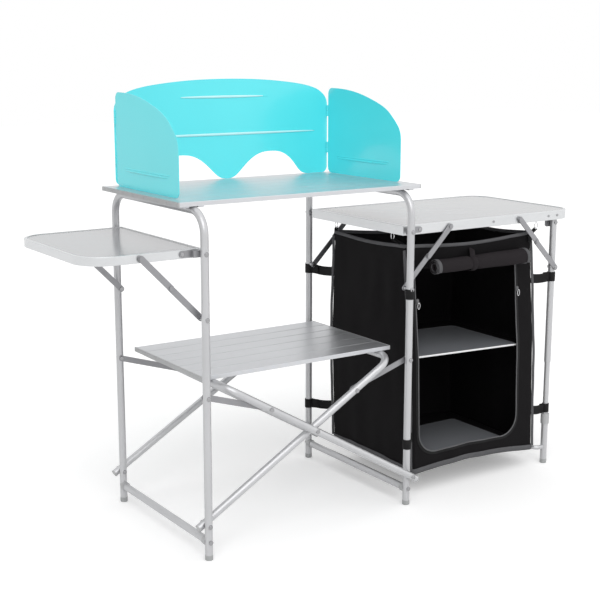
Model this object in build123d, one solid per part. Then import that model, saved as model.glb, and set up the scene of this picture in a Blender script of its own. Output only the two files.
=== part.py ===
from build123d import *
import os
from math import atan2, cos, hypot, radians, sin

# Camping kitchen table: a folding main stand with a slatted top, a slatted lower shelf and a
# folding windshield, a drop-down side tray on the left, and a cupboard table on the right.
# Millimetres. X runs along the table to the right, Y to the back, Z up from the floor.
# Places are worked out from the front left leg, and the finished model is moved so that its
# origin is the middle of its footprint on the floor.

# Tubes and frames
TUBE_R = 9.0
TUBE_WALL = 1.2
FRAME_DEPTH = 437.0
FRAME_SPACING = 585.0
LAYER = 20.0
BEND_R = 50.0
FOOT_H = 12.0
FOOT_R = 9.4
PLUG_LENGTH = 22.0
FIT = 0.05
SEAT_GAP = 0.3
TOP_HEIGHT = 810.0
SLAT_T = 10.0
LOW_RAIL_Z = 43.0
RAIL_PLUG_R = 11.0
RAIL_PLUG_L = 7.0

# Scissor under the shelf
PIVOT_Z = 80.0
SCISSOR_REACH = 530.0
SCISSOR_RISE = 311.0
SCISSOR_BEND = 40.0
SCISSOR_TAIL = 16.0
CAP_T = 3.0
FOLD_DEG = 39.0
PIN_R = 3.0
HEAD_R = 5.5
HEAD_T = 2.0

# Flat links between the legs and the scissor
LINK_REACH = 164.0
LINK_W = 14.0
LINK_T = 2.5

# Slatted tops
SLAT_GAP = 1.0
SLAT_WALL = 1.2
SLAT_ROUND = 1.2
TOP_OVERHANG = 38.5
TOP_DEPTH = 384.0
TOP_SLATS = 7
SHELF_LEFT_OVERHANG = 31.0
SHELF_RIGHT_OVERHANG = 25.0
SHELF_DEPTH = 336.0
SHELF_SLATS = 6
BATTEN_W = 14.0
BATTEN_T = 4.0
BATTEN_PLAY = 2.0
CLIP_BATTEN_PLAY = 6.0
CLIP_T = 2.0
CLIP_W = 22.0
CLIP_INSET = 60.0

# Side tables
SIDE_TOP_Z = 710.0
RIM_WALL = 2.0
RIM_LIP = 7.0
RIM_LIP_T = 1.2
RIM_ROUND = 0.8
BOARD_T = 3.0
TABLE_END_IN = 6.0
TRAY_LENGTH = 272.0
TRAY_DEPTH = 392.0
TRAY_RIM = 19.0
TRAY_CORNER = 70.0
TABLE_LENGTH = 593.0
TABLE_DEPTH = 392.0
TABLE_RIM = 24.0
TABLE_CORNER = 60.0
TRAY_BRACKET_REACH = 43.0
TABLE_BRACKET_REACH = 44.0
BRACKET_W = 15.0
BRACKET_T = 2.0
BRACKET_JOG = 20.0
STRUT_REACH = 142.0
STRUT_KNEE = 73.0
STRUT_Z = 556.0
RIM_HEAD_R = 4.5
RIM_HEAD_T = 1.6
RIM_RIVETS_BACK = (229.0, 32.0, 0.0)

# Outer legs of the cupboard table
OUTER_BACK = 67.0
OUTER_INSET = 12.5
OUTER_SEAM_Z = 291.0
INNER_R = 7.5
COLLAR_Z = 115.0
COLLAR_H = 28.0
COLLAR_R = 11.5
INNER_OVERLAP = 30.0
SLEEVE_L = 40.0
HEIGHT_STEP = 21.0
HEIGHT_HOLES = 2
HOLE_R = 2.5
LOWER_RAIL_Z = 47.0
LOWER_RAIL_R = 6.0
LOWER_RAIL_IN = 34.0
BUTTON_R = 3.2
BUTTON_PROUD = 3.0
BUTTON_TRAVEL = 2.5
OUTER_STRUT_REACH = 139.0
OUTER_STRUT_KNEE = 76.0
EAR_T = 2.0
EAR_W = 42.0
EAR_DROP = 40.0
EAR_BOLT_OUT = 14.0
EAR_FOOT = 24.0
EAR_BOLT_UP = 12.0

# Cupboard bag and its boards
BAG_LEFT_GAP = 43.0
BAG_RIGHT_GAP = 55.0
BAG_Y0 = 54.0
BAG_DEPTH = 351.0
BAG_Z0 = 70.0
BAG_HEIGHT = 585.0
BAG_WALL = 2.5
BAG_ROUND = 12.0
DOOR_INSET = 23.0
DOOR_WIDTH = 340.0
DOOR_Z0 = 112.0
DOOR_HEIGHT = 473.0
DOOR_CORNER = 60.0
ROLL_R = 20.0
ROLL_START = 56.0
ROLL_LENGTH = 310.0
ROLL_Z = 598.0
SHEET_T = 4.0
MID_BOARD_Z = 358.0
BOARD_PLAY = 0.4
TIE_W = 12.0
TIE_T = 1.2
STRAP_H = 25.0
STRAP_T = 1.6
LOOP_PLAY = 1.5
STRAP_ZS = (160.0, 530.0)
HOOK_WIRE = 1.3
HOOK_RING = 6.0
HOOK_STEM = 4.0
HOOK_IN = 8.0
TAB_W = 12.0
TAB_H = 22.0
ZIP_TAPE_W = 7.0
ZIP_TAPE_T = 0.8

# Windshield
SHIELD_T = 1.2
SHIELD_INSET = 22.0
SHIELD_RIGHT = 6.0
SHIELD_Y = 408.0
SHIELD_CORNER_H = 224.0
SHIELD_PEAK_H = 249.0
SHIELD_CORNER_R = 44.0
ARCH_X = 132.0
ARCH_H = 64.0
ARCH_HALF = 116.0
LOBE_HALF = 54.0
FOOT_ROUND = 16.0
WING_LENGTH = 312.0
WING_BACK_H = 222.0
WING_FRONT_H = 100.0
WING_START = 4.2
WING_BEAD_H = 46.0
WING_BEAD_IN = 46.0
BEAD_R = 1.6
HINGE_OFFSET = 4.0
KNUCKLE_R = 3.0
KNUCKLE_H = 14.0
HINGE_PIN_R = 1.5
HINGE_IN = 1.5
HINGE_ZS = (52.0, 148.0)

# Places worked out from the sizes above
TOP_UNDER = TOP_HEIGHT - SLAT_T
TOP_LENGTH = FRAME_SPACING + 2 * TOP_OVERHANG
RAIL_Z = TOP_UNDER - SEAT_GAP - TUBE_R
WHOLE_MID_Y = (FRAME_DEPTH + LAYER) / 2
SLOPE = atan2(SCISSOR_RISE, SCISSOR_REACH)
ARM = hypot(SCISSOR_REACH, SCISSOR_RISE)
HALF_SPAN = FRAME_SPACING / 2
CROSS_Z = PIVOT_Z + HALF_SPAN * SCISSOR_RISE / SCISSOR_REACH
BAR_Z = PIVOT_Z + SCISSOR_RISE
SHELF_UNDER = BAR_Z + TUBE_R + SEAT_GAP
SHELF_X = FRAME_SPACING - SCISSOR_REACH - SHELF_LEFT_OVERHANG
SHELF_LENGTH = SCISSOR_REACH + SHELF_RIGHT_OVERHANG - SHELF_X
FOLDED_SLOPE = SLOPE + radians(FOLD_DEG)
FOLDED_SPACING = 2 * HALF_SPAN / cos(SLOPE) * cos(FOLDED_SLOPE)
LINK_ON_ARM = (FRAME_SPACING - LINK_REACH) / cos(SLOPE)
LINK_END_Z = PIVOT_Z + LINK_ON_ARM * sin(SLOPE)
LINK_FOLDED_X = FOLDED_SPACING - LINK_ON_ARM * cos(FOLDED_SLOPE)
LINK_FOLDED_Z = PIVOT_Z + LINK_ON_ARM * sin(FOLDED_SLOPE)
LINK_SPAN = LINK_FOLDED_X ** 2 + LINK_FOLDED_Z ** 2 - LINK_REACH ** 2 - LINK_END_Z ** 2
LINK_Z = LINK_SPAN / (2 * (LINK_FOLDED_Z - LINK_END_Z))
LEFT_YS = (0.0, FRAME_DEPTH)
RIGHT_YS = (LAYER, LAYER + FRAME_DEPTH)
TRAY_MID_Y = FRAME_DEPTH / 2
TABLE_MID_Y = LAYER + FRAME_DEPTH / 2
TRAY_Y = (TRAY_MID_Y - TRAY_DEPTH / 2, TRAY_MID_Y + TRAY_DEPTH / 2)
TRAY_PIVOT_Z = SIDE_TOP_Z - TRAY_RIM / 2
TABLE_PIVOT_Z = SIDE_TOP_Z - TABLE_RIM / 2
SHELL_Y = (TABLE_MID_Y - TABLE_DEPTH / 2, TABLE_MID_Y + TABLE_DEPTH / 2)
OUTER_YS = (SHELL_Y[0] + OUTER_INSET, SHELL_Y[1] - OUTER_INSET)
TABLE_X0 = FRAME_SPACING - TABLE_END_IN
OUTER_X = TABLE_X0 + TABLE_LENGTH - OUTER_BACK
EAR_TOP = SIDE_TOP_Z - RIM_LIP_T - BOARD_T - FIT
EAR_Z = EAR_TOP - EAR_DROP + EAR_BOLT_UP
SHIELD_X = HALF_SPAN + SHIELD_RIGHT
SHIELD_HALF = TOP_LENGTH / 2 - SHIELD_INSET
SHIELD_Z = TOP_HEIGHT + SEAT_GAP
HINGE_Y = SHIELD_Y - HINGE_OFFSET
HINGE_XS = (SHIELD_X - SHIELD_HALF + HINGE_IN, SHIELD_X + SHIELD_HALF - HINGE_IN)
BAG_X0 = TABLE_X0 + BAG_LEFT_GAP
BAG_X1 = OUTER_X - BAG_RIGHT_GAP
BAG_Y1 = BAG_Y0 + BAG_DEPTH
BAG_Z1 = BAG_Z0 + BAG_HEIGHT
DOOR_X0 = BAG_X0 + DOOR_INSET
DOOR_X1 = DOOR_X0 + DOOR_WIDTH
ROLL_Y = BAG_Y0 - ROLL_R - SEAT_GAP


def rod(start, end, radius):
    """A round bar from one point to another."""
    along = Vector(*end) - Vector(*start)
    return Solid.make_cylinder(radius, along.length, Plane(origin=start, z_dir=along))


def across(x, z, y0, y1, radius):
    """A round bar along Y."""
    return rod((x, y0, z), (x, y1, z), radius)


def ring(start, end, outer, inner):
    """A round bar with a bore."""
    return rod(start, end, outer) - rod(start, end, inner)


def block(x0, x1, y0, y1, z0, z1):
    """A box between two corners."""
    middle = Pos((x0 + x1) / 2, (y0 + y1) / 2, (z0 + z1) / 2)
    return middle * Box(abs(x1 - x0), abs(y1 - y0), abs(z1 - z0))


def bent_tube(points, bend, radius=TUBE_R, wall=TUBE_WALL):
    """A hollow tube along straight runs joined by round bends."""
    path = FilletPolyline(*points, radius=bend)
    start = Plane(origin=path @ 0, z_dir=path % 0)
    return sweep(start * (Circle(radius) - Circle(radius - wall)), path=path)


def straight_tube(start, end, radius=TUBE_R, wall=TUBE_WALL):
    """A hollow straight tube."""
    return ring(start, end, radius, radius - wall)


def flat_bar(a, b, y0, y1, width=LINK_W):
    """A flat bar with round ends between two (x, z) points, standing in the XZ plane."""
    along = Vector(b[0] - a[0], 0, b[1] - a[1])
    middle = Vector((a[0] + b[0]) / 2, (y0 + y1) / 2, (a[1] + b[1]) / 2)
    plate = Plane(origin=middle, x_dir=along, z_dir=(0, 1, 0)) * Box(along.length, width, y1 - y0)
    return plate + across(*a, y0, y1, width / 2) + across(*b, y0, y1, width / 2)


def strap_bar(a, b, width, thick):
    """A flat strip between two points, with its width level and square to its run."""
    along = Vector(*b) - Vector(*a)
    side = along.cross(Vector(0, 0, 1))
    middle = (Vector(*a) + Vector(*b)) * 0.5
    return Plane(origin=middle, x_dir=along, z_dir=along.cross(side)) * Box(along.length, width, thick)


def rivet(x, z, y0, y1, radius=PIN_R, head_r=HEAD_R, head_t=HEAD_T):
    """A rivet along Y whose heads lie outside y0 and y1, with domed edges."""
    front = across(x, z, y0 - head_t, y0, head_r)
    back = across(x, z, y1, y1 + head_t, head_r)
    front = fillet(front.edges().sort_by(Axis.Y)[:1], head_t * 0.6)
    back = fillet(back.edges().sort_by(Axis.Y)[-1:], head_t * 0.6)
    return across(x, z, y0, y1, radius) + front + back


def drilled(shape, holes):
    """A shape less each (x, z, y0, y1, radius) hole along Y."""
    for x, z, y0, y1, radius in holes:
        shape = shape - across(x, z, y0, y1, radius)
    return shape


def facing(y, middle):
    """+1 for the front member of a pair and -1 for the back one: the way to the inside."""
    return 1 if y < middle else -1


def frame_tube(x, ys, bracket_z):
    """The inverted U of one leg frame, with its rivet holes."""
    points = [(x, ys[0], FOOT_H), (x, ys[0], RAIL_Z), (x, ys[1], RAIL_Z), (x, ys[1], FOOT_H)]
    tube = bent_tube(points, BEND_R)
    reach = TUBE_R + 1
    holes = []
    for y in ys:
        holes += [(x, z, y - reach, y + reach, PIN_R + FIT) for z in (PIVOT_Z, LINK_Z, STRUT_Z, bracket_z)]
        holes.append((x, LOW_RAIL_Z, y - reach, y + reach, PIN_R + FIT))
    return drilled(tube, holes)


def low_rail(x, ys):
    """The straight tube between the two legs of a frame, near the floor."""
    inset = TUBE_R + RAIL_PLUG_L
    return straight_tube((x, ys[0] + inset, LOW_RAIL_Z), (x, ys[1] - inset, LOW_RAIL_Z))


def rail_plugs(x, ys):
    """The plastic saddles that join the low rail to its legs."""
    plugs = []
    for y in ys:
        side = facing(y, sum(ys) / 2)
        face = y + side * (TUBE_R + RAIL_PLUG_L)
        tip = face + side * PLUG_LENGTH
        body = rod((x, y + side * 3, LOW_RAIL_Z), (x, face, LOW_RAIL_Z), RAIL_PLUG_R)
        body = body + rod((x, face, LOW_RAIL_Z), (x, tip, LOW_RAIL_Z), TUBE_R - TUBE_WALL - FIT)
        body = body - rod((x, y, 0), (x, y, PIVOT_Z), TUBE_R + FIT)
        body = body - rod((x, y, LOW_RAIL_Z), (x, tip - side * 6, LOW_RAIL_Z), PIN_R + FIT)
        plugs.append(body)
    return plugs


def rail_screws(x, ys):
    """The screws through the legs into the low rail's plugs."""
    screws = []
    for y in ys:
        side = facing(y, sum(ys) / 2)
        outside = y - side * TUBE_R
        tip = y + side * (TUBE_R + RAIL_PLUG_L + PLUG_LENGTH - 8)
        head = rod((x, outside - side * HEAD_T, LOW_RAIL_Z), (x, outside, LOW_RAIL_Z), HEAD_R)
        screws.append(rod((x, outside, LOW_RAIL_Z), (x, tip, LOW_RAIL_Z), PIN_R) + head)
    return screws


def feet(places, bore):
    """The plastic feet that plug into the leg tubes."""
    made = []
    for x, y in places:
        pad = rod((x, y, 0), (x, y, FOOT_H), FOOT_R)
        pad = chamfer(pad.edges().sort_by(Axis.Z)[:1], 1.0)
        made.append(pad + rod((x, y, FOOT_H), (x, y, FOOT_H + PLUG_LENGTH), bore - FIT))
    return made


def scissor_arm(foot_x, way, ys):
    """One U of the scissor: two legs that rise from foot_x and a crossbar between their tops."""
    lean = Vector(way * cos(SLOPE), 0, sin(SLOPE))
    foot = Vector(foot_x, 0, PIVOT_Z)
    low = foot - lean * SCISSOR_TAIL
    high = foot + lean * ARM
    points = [(low.X, ys[0], low.Z), (high.X, ys[0], high.Z), (high.X, ys[1], high.Z), (low.X, ys[1], low.Z)]
    tube = bent_tube(points, SCISSOR_BEND)
    link_x = foot_x + way * LINK_ON_ARM * cos(SLOPE)
    holes = []
    for y in ys:
        for x, z in ((foot_x, PIVOT_Z), (HALF_SPAN, CROSS_Z), (link_x, LINK_END_Z)):
            holes.append((x, z, y - TUBE_R - 1, y + TUBE_R + 1, PIN_R + FIT))
    return drilled(tube, holes)


def arm_caps(foot_x, way, ys):
    """The plastic caps in the low ends of a scissor arm."""
    lean = Vector(way * cos(SLOPE), 0, sin(SLOPE))
    low = Vector(foot_x, 0, PIVOT_Z) - lean * SCISSOR_TAIL
    made = []
    for y in ys:
        end = Vector(low.X, y, low.Z)
        disc = rod(end - lean * CAP_T, end, TUBE_R)
        made.append(disc + rod(end, end + lean * 8, TUBE_R - TUBE_WALL - FIT))
    return made


def pivot_rivets(x, z, front_y, back_y):
    """The rivet through the front and back pair of tubes, with a washer between each pair."""
    made = []
    for near, far in ((front_y, front_y + LAYER), (back_y, back_y + LAYER)):
        pin = rivet(x, z, near - TUBE_R - FIT, far + TUBE_R + FIT)
        made.append(pin + across(x, z, near + TUBE_R + FIT, far - TUBE_R - FIT, 7))
    return made


def inner_plane(y, middle, gap):
    """The two Y faces of a flat bar that lies inside a tube at y, gap away from it."""
    side = facing(y, middle)
    near = y + side * (TUBE_R + gap)
    return sorted((near, near + side * LINK_T))


def links(x, way, ys):
    """The flat links from the legs at x to the scissor arm, one in front and one at the back."""
    made = []
    for y in ys:
        side = facing(y, sum(ys) / 2)
        y0, y1 = inner_plane(y, sum(ys) / 2, 0.5)
        bar = flat_bar((x, LINK_Z), (x + way * LINK_REACH, LINK_END_Z), y0, y1)
        bar = bar - across(x, LINK_Z, y0 - 1, y1 + 1, PIN_R + FIT)
        face = y1 if side > 0 else y0
        made.append(bar + across(x + way * LINK_REACH, LINK_END_Z, face, face + side * HEAD_T, HEAD_R))
    return made


def link_rivets(x, ys):
    """The rivets that hold the flat links on the legs."""
    made = []
    for y in ys:
        y0, y1 = inner_plane(y, sum(ys) / 2, 0.5)
        low, high = min(y - TUBE_R, y0), max(y + TUBE_R, y1)
        made.append(rivet(x, LINK_Z, low - FIT, high + FIT))
    return made


def arm_rivets(x, ys):
    """The rivets in a scissor arm where the flat links reach it."""
    made = []
    for y in ys:
        side = facing(y, sum(ys) / 2)
        outside = y - side * TUBE_R
        head = across(x, LINK_END_Z, outside - side * HEAD_T, outside, HEAD_R)
        made.append(head + across(x, LINK_END_Z, outside, y + side * (TUBE_R + 0.2), PIN_R))
    return made


def slats(x0, length, y0, depth, count, under):
    """Hollow slats side by side along X, each with its top edges rounded."""
    pitch = depth / count
    made = []
    for n in range(count):
        near = y0 + n * pitch
        bar = block(x0, x0 + length, near, near + pitch - SLAT_GAP, under, under + SLAT_T)
        long_edges = bar.edges().filter_by(Axis.X).group_by(Axis.Z)[-1]
        bar = fillet(long_edges, SLAT_ROUND)
        hollow = block(x0 - 1, x0 + length + 1, near + SLAT_WALL, near + pitch - SLAT_GAP - SLAT_WALL,
                       under + SLAT_WALL, under + SLAT_T - SLAT_WALL)
        made.append(bar - hollow)
    return made


def slat_caps(x0, length, y0, depth, count, under):
    """The plastic plugs in both ends of every slat."""
    pitch = depth / count
    made = []
    for n in range(count):
        near = y0 + n * pitch
        far = near + pitch - SLAT_GAP
        for end, side in ((x0, -1), (x0 + length, 1)):
            face = block(end, end + side * CAP_T, near, far, under, under + SLAT_T)
            core = block(end, end - side * 10, near + SLAT_WALL + FIT, far - SLAT_WALL - FIT,
                         under + SLAT_WALL + FIT, under + SLAT_T - SLAT_WALL - FIT)
            made.append(face + core)
    return made


def battens(xs, y0, y1, under):
    """The strips under the slats that hold them together."""
    return [block(x, x + BATTEN_W, y0, y1, under - BATTEN_T, under) for x in xs]


def rail_clips(x, z, ys, under, radius):
    """Saddles under a slatted top that drop over a tube along Y."""
    made = []
    for y in ys:
        outer = radius + SEAT_GAP + CLIP_T
        body = block(x - outer, x + outer, y - CLIP_W / 2, y + CLIP_W / 2, z - 2, under)
        slot = block(x - radius - SEAT_GAP, x + radius + SEAT_GAP, y - CLIP_W, y + CLIP_W, z - 3, z)
        made.append(body - slot - across(x, z, y - CLIP_W, y + CLIP_W, radius + SEAT_GAP))
    return made


def table_outline(length, depth, corner, way):
    """A rectangle from x = 0 whose two corners away from the stand are round."""
    sheet = Pos(way * length / 2, 0) * Rectangle(length, depth)
    outer = sheet.vertices().sort_by(Axis.X)
    outer = outer[-2:] if way > 0 else outer[:2]
    return fillet(outer, corner)


def table_rim(x, y, length, depth, corner, height, way, holes):
    """The rolled edge of a side table: an outside wall and a lip over its board."""
    outline = table_outline(length, depth, corner, way)
    body = extrude(outline, amount=height)
    body = fillet(body.edges().group_by(Axis.Z)[-1] + body.edges().group_by(Axis.Z)[0], RIM_ROUND)
    inside = offset(outline, amount=-RIM_WALL)
    window = offset(outline, amount=-RIM_LIP)
    body = body - extrude(inside, amount=height - RIM_LIP_T) - extrude(window, amount=height)
    return drilled(Pos(x, y, SIDE_TOP_Z - height) * body, holes)


def table_board(x, y, length, depth, corner, way):
    """The flat board that lies inside a side table's rim, under its lip."""
    board = extrude(offset(table_outline(length, depth, corner, way), amount=-RIM_WALL - FIT), amount=BOARD_T)
    return Pos(x, y, SIDE_TOP_Z - RIM_LIP_T - BOARD_T) * board


def leg_bracket(leg_x, leg_y, rim_y, z, way, reach):
    """A cranked plate from a leg to the face of a side table's rim."""
    side = 1 if rim_y > leg_y else -1
    half = BRACKET_W / 2
    leg_face = leg_y + side * (TUBE_R + FIT)
    rim_face = rim_y - side * 0.5
    jog = leg_x + way * BRACKET_JOG
    end = leg_x + way * reach
    near = block(leg_x - way * 7, jog, leg_face, leg_face + side * BRACKET_T, z - half, z + half)
    web = block(jog, jog + way * BRACKET_T, leg_face, rim_face, z - half, z + half)
    far = block(jog, end, rim_face - side * BRACKET_T, rim_face, z - half, z + half)
    far = far + across(end, z, rim_face - side * BRACKET_T, rim_face, half)
    low, high = sorted((leg_y, rim_y))
    return drilled(near + web + far, [(leg_x, z, low, high, PIN_R + FIT), (end, z, low, high, PIN_R + FIT)])


def bracket_rivets(leg_x, leg_y, rim_y, z, way, reach):
    """The leg rivet and the rim pin of one leg bracket."""
    side = 1 if rim_y > leg_y else -1
    outside = leg_y - side * TUBE_R
    inside = leg_y + side * (TUBE_R + FIT + BRACKET_T)
    leg = rivet(leg_x, z, *sorted((outside, inside)))
    face = rim_y - side * (0.5 + BRACKET_T)
    wall = rim_y + side * (RIM_WALL + FIT)
    rim = rivet(leg_x + way * reach, z, *sorted((face, wall)), head_r=RIM_HEAD_R, head_t=RIM_HEAD_T)
    return [leg, rim]


def strut_faces(rim_y, middle, gap):
    """The way out of a rim's face, and the near and far face of a flat bar that lies gap outside it."""
    out = -facing(rim_y, middle)
    near = rim_y + out * gap
    return out, near, near + out * LINK_T


def strut_points(leg_x, way, rim_z, reach, knee):
    """The leg, knee and rim points (x, z) of a strut."""
    rise = (rim_z - STRUT_Z) / reach
    return (leg_x, STRUT_Z), (leg_x + way * knee, STRUT_Z + rise * knee), (leg_x + way * reach, rim_z)


def lower_strut(leg_x, way, rim_y, middle, rim_z, reach, knee):
    """The strut link from the leg to the knee, with the knee's pin."""
    out, near, far = strut_faces(rim_y, middle, SEAT_GAP)
    leg_point, knee_point, rim_point = strut_points(leg_x, way, rim_z, reach, knee)
    bar = flat_bar(leg_point, knee_point, *sorted((near, far)))
    bar = drilled(bar, [(*leg_point, *sorted((near - out, far + out)), PIN_R + FIT)])
    shank = far + out * (LINK_T + 2 * SEAT_GAP)
    pin = across(*knee_point, *sorted((far, shank)), PIN_R)
    head = across(*knee_point, *sorted((shank, shank + out * HEAD_T)), HEAD_R)
    return bar + pin + head


def upper_strut(leg_x, way, rim_y, middle, rim_z, reach, knee):
    """The strut link from the knee to the rim, outside the lower one, with its rivet and spacer."""
    out, near, far = strut_faces(rim_y, middle, LINK_T + 2 * SEAT_GAP)
    leg_point, knee_point, rim_point = strut_points(leg_x, way, rim_z, reach, knee)
    bar = flat_bar(knee_point, rim_point, *sorted((near, far)))
    bar = drilled(bar, [(*knee_point, *sorted((near - out, far + out)), PIN_R + FIT)])
    head = across(*rim_point, *sorted((far, far + out * HEAD_T)), HEAD_R)
    spacer = across(*rim_point, *sorted((rim_y + out * SEAT_GAP, near)), HEAD_R)
    return bar + head + spacer


def strut_rivet(leg_x, leg_y, rim_y, middle):
    """The rivet that holds a strut on its leg, with a spacer between them."""
    out, near, far = strut_faces(rim_y, middle, SEAT_GAP)
    faces = sorted((leg_y - TUBE_R - FIT, leg_y + TUBE_R + FIT, near, far))
    pin = rivet(leg_x, STRUT_Z, faces[0] - FIT, faces[3] + FIT, head_t=RIM_HEAD_T)
    return pin + across(leg_x, STRUT_Z, faces[1] + FIT, faces[2] - FIT, HEAD_R)


def outer_upper(y):
    """The fixed part of an outer leg: a wide tube above its seam and a thin one below it."""
    top = SIDE_TOP_Z - RIM_LIP_T - BOARD_T - 2.0
    wide = straight_tube((OUTER_X, y, OUTER_SEAM_Z), (OUTER_X, y, top))
    end = COLLAR_Z - INNER_OVERLAP
    seam, inside = (OUTER_X, y, OUTER_SEAM_Z), (OUTER_X, y, OUTER_SEAM_Z + SLEEVE_L)
    thin = straight_tube((OUTER_X, y, end), inside, INNER_R)
    sleeve = ring(seam, inside, TUBE_R - TUBE_WALL, INNER_R)
    leg = wide + sleeve + thin
    reach = TUBE_R + 1
    return drilled(leg, [(OUTER_X, z, y - reach, y + reach, PIN_R + FIT) for z in (STRUT_Z, EAR_Z)])


def outer_lower(y):
    """The sliding part of an outer leg, with its row of height holes."""
    tube = ring((OUTER_X, y, FOOT_H), (OUTER_X, y, COLLAR_Z), TUBE_R, TUBE_R - TUBE_WALL)
    for n in range(HEIGHT_HOLES):
        z = COLLAR_Z - 10 - n * HEIGHT_STEP
        tube = tube - rod((OUTER_X + 3, y, z), (OUTER_X + TUBE_R + 2, y, z), HOLE_R)
    return tube


def collar(y):
    """The plastic collar on top of the sliding tube, with a pocket for its button."""
    z1 = COLLAR_Z + COLLAR_H
    body = ring((OUTER_X, y, COLLAR_Z), (OUTER_X, y, z1), COLLAR_R, INNER_R + 0.3)
    body = chamfer(body.edges().filter_by(GeomType.CIRCLE).group_by(Axis.Z)[-1][-1:], 1.0)
    mid = COLLAR_Z + COLLAR_H / 2
    return body - rod((OUTER_X + INNER_R + 0.8, y, mid), (OUTER_X + COLLAR_R + 2, y, mid), BUTTON_R + 0.15)


def button(y):
    """The push button in the collar."""
    mid = COLLAR_Z + COLLAR_H / 2
    x0 = OUTER_X + INNER_R + 0.8 + BUTTON_TRAVEL + 0.05
    body = rod((x0, y, mid), (OUTER_X + COLLAR_R + BUTTON_PROUD, y, mid), BUTTON_R)
    return fillet(body.edges().sort_by(Axis.X)[-1:], 1.0)


def lower_rail():
    """The thin bent rail that joins the two sliding tubes."""
    x0 = OUTER_X - TUBE_R + 1
    x1 = OUTER_X - LOWER_RAIL_IN
    points = [(x0, OUTER_YS[0], LOWER_RAIL_Z), (x1, OUTER_YS[0], LOWER_RAIL_Z),
              (x1, OUTER_YS[1], LOWER_RAIL_Z), (x0, OUTER_YS[1], LOWER_RAIL_Z)]
    rail = bent_tube(points, 20, LOWER_RAIL_R, 1.0)
    for y in OUTER_YS:
        rail = rail - rod((OUTER_X, y, 0), (OUTER_X, y, COLLAR_Z), TUBE_R + FIT)
    return rail


def table_ears():
    """The angle plates under the cupboard table that hold the outer legs."""
    x0 = OUTER_X - EAR_W / 2
    made = []
    for y in OUTER_YS:
        side = facing(y, TABLE_MID_Y)
        face = y + side * (TUBE_R + 0.2)
        plate = block(x0, x0 + EAR_W, face, face + side * EAR_T, EAR_TOP - EAR_DROP, EAR_TOP)
        plate = fillet(plate.edges().filter_by(Axis.Y).group_by(Axis.Z)[0], 6)
        foot = block(x0, x0 + EAR_W, face, face + side * EAR_FOOT, EAR_TOP - EAR_T, EAR_TOP)
        made.append(drilled(plate + foot, [(x, EAR_Z, y - 30, y + 30, PIN_R + FIT)
                                           for x in (OUTER_X, OUTER_X + EAR_BOLT_OUT)]))
    return made


def ear_bolts():
    """The bolts through the outer legs and their angle plates, and the stop bolt beside each leg."""
    made = []
    for y in OUTER_YS:
        side = facing(y, TABLE_MID_Y)
        face = y + side * (TUBE_R + 0.2)
        inside = face + side * EAR_T
        made.append(rivet(OUTER_X, EAR_Z, *sorted((y - side * TUBE_R, inside + side * FIT))))
        stop = sorted((face - side * FIT, inside + side * FIT))
        made.append(rivet(OUTER_X + EAR_BOLT_OUT, EAR_Z, *stop, head_r=4.0))
    return made


def rim_rivets():
    """The small rivets along the front and back of the cupboard table's rim."""
    made = []
    for back in RIM_RIVETS_BACK:
        for rim_y in SHELL_Y:
            side = facing(rim_y, TABLE_MID_Y)
            made.append(across(OUTER_X - back, TABLE_PIVOT_Z, rim_y, rim_y - side * 1.4, 3.2))
    return made


def bag_shell():
    """The hanging fabric cupboard: four walls and a floor, open at the top, with a door opening."""
    body = block(BAG_X0, BAG_X1, BAG_Y0, BAG_Y1, BAG_Z0, BAG_Z1)
    body = fillet(body.edges().filter_by(Axis.Z), BAG_ROUND)
    hollow = block(BAG_X0 + BAG_WALL, BAG_X1 - BAG_WALL, BAG_Y0 + BAG_WALL, BAG_Y1 - BAG_WALL,
                   BAG_Z0 + BAG_WALL, BAG_Z1 + 5)
    hollow = fillet(hollow.edges().filter_by(Axis.Z), BAG_ROUND - BAG_WALL)
    door_middle = Pos((DOOR_X0 + DOOR_X1) / 2, DOOR_Z0 + DOOR_HEIGHT / 2)
    door = Plane.XZ * door_middle * Rectangle(DOOR_WIDTH, DOOR_HEIGHT)
    door = fillet(door.vertices(), DOOR_CORNER)
    opening = Pos(0, BAG_Y0 - 5, 0) * extrude(door, amount=-BAG_WALL - 10)
    return body - hollow - opening


def bag_board(z, thick):
    """A stiff board that lies inside the cupboard bag."""
    play = BAG_WALL + BOARD_PLAY
    board = block(BAG_X0 + play, BAG_X1 - play, BAG_Y0 + play, BAG_Y1 - play, z, z + thick)
    return fillet(board.edges().filter_by(Axis.Z), BAG_ROUND - BAG_WALL)


def door_roll():
    """The rolled-up door, a closed roll along X."""
    x0 = BAG_X0 + ROLL_START
    roll = rod((x0, ROLL_Y, ROLL_Z), (x0 + ROLL_LENGTH, ROLL_Y, ROLL_Z), ROLL_R)
    return fillet(roll.edges().filter_by(GeomType.CIRCLE), 3.0)


def roll_tie():
    """The tie strap round the middle of the door roll, sewn to the bag above it."""
    x = BAG_X0 + ROLL_START + ROLL_LENGTH * 0.45
    near, far = x - TIE_W / 2, x + TIE_W / 2
    band = ring((near, ROLL_Y, ROLL_Z), (far, ROLL_Y, ROLL_Z), ROLL_R + 0.2 + TIE_T, ROLL_R + 0.2)
    band = band - block(near, far, BAG_Y0 - SEAT_GAP, BAG_Y0 + 10, ROLL_Z - ROLL_R, ROLL_Z + ROLL_R)
    tab = block(near, far, BAG_Y0 - SEAT_GAP - TIE_T, BAG_Y0 - SEAT_GAP, ROLL_Z + ROLL_R * 0.4, BAG_Z1 - 4)
    inside = rod((near, ROLL_Y, ROLL_Z), (far, ROLL_Y, ROLL_Z), ROLL_R + 0.2)
    return band + (tab - inside)


def strap_loop(leg_x, leg_y, leg_r, z):
    """The loop of a strap round a leg."""
    inner = leg_r + SEAT_GAP
    return ring((leg_x, leg_y, z - STRAP_H / 2), (leg_x, leg_y, z + STRAP_H / 2), inner + STRAP_T, inner)


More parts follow.
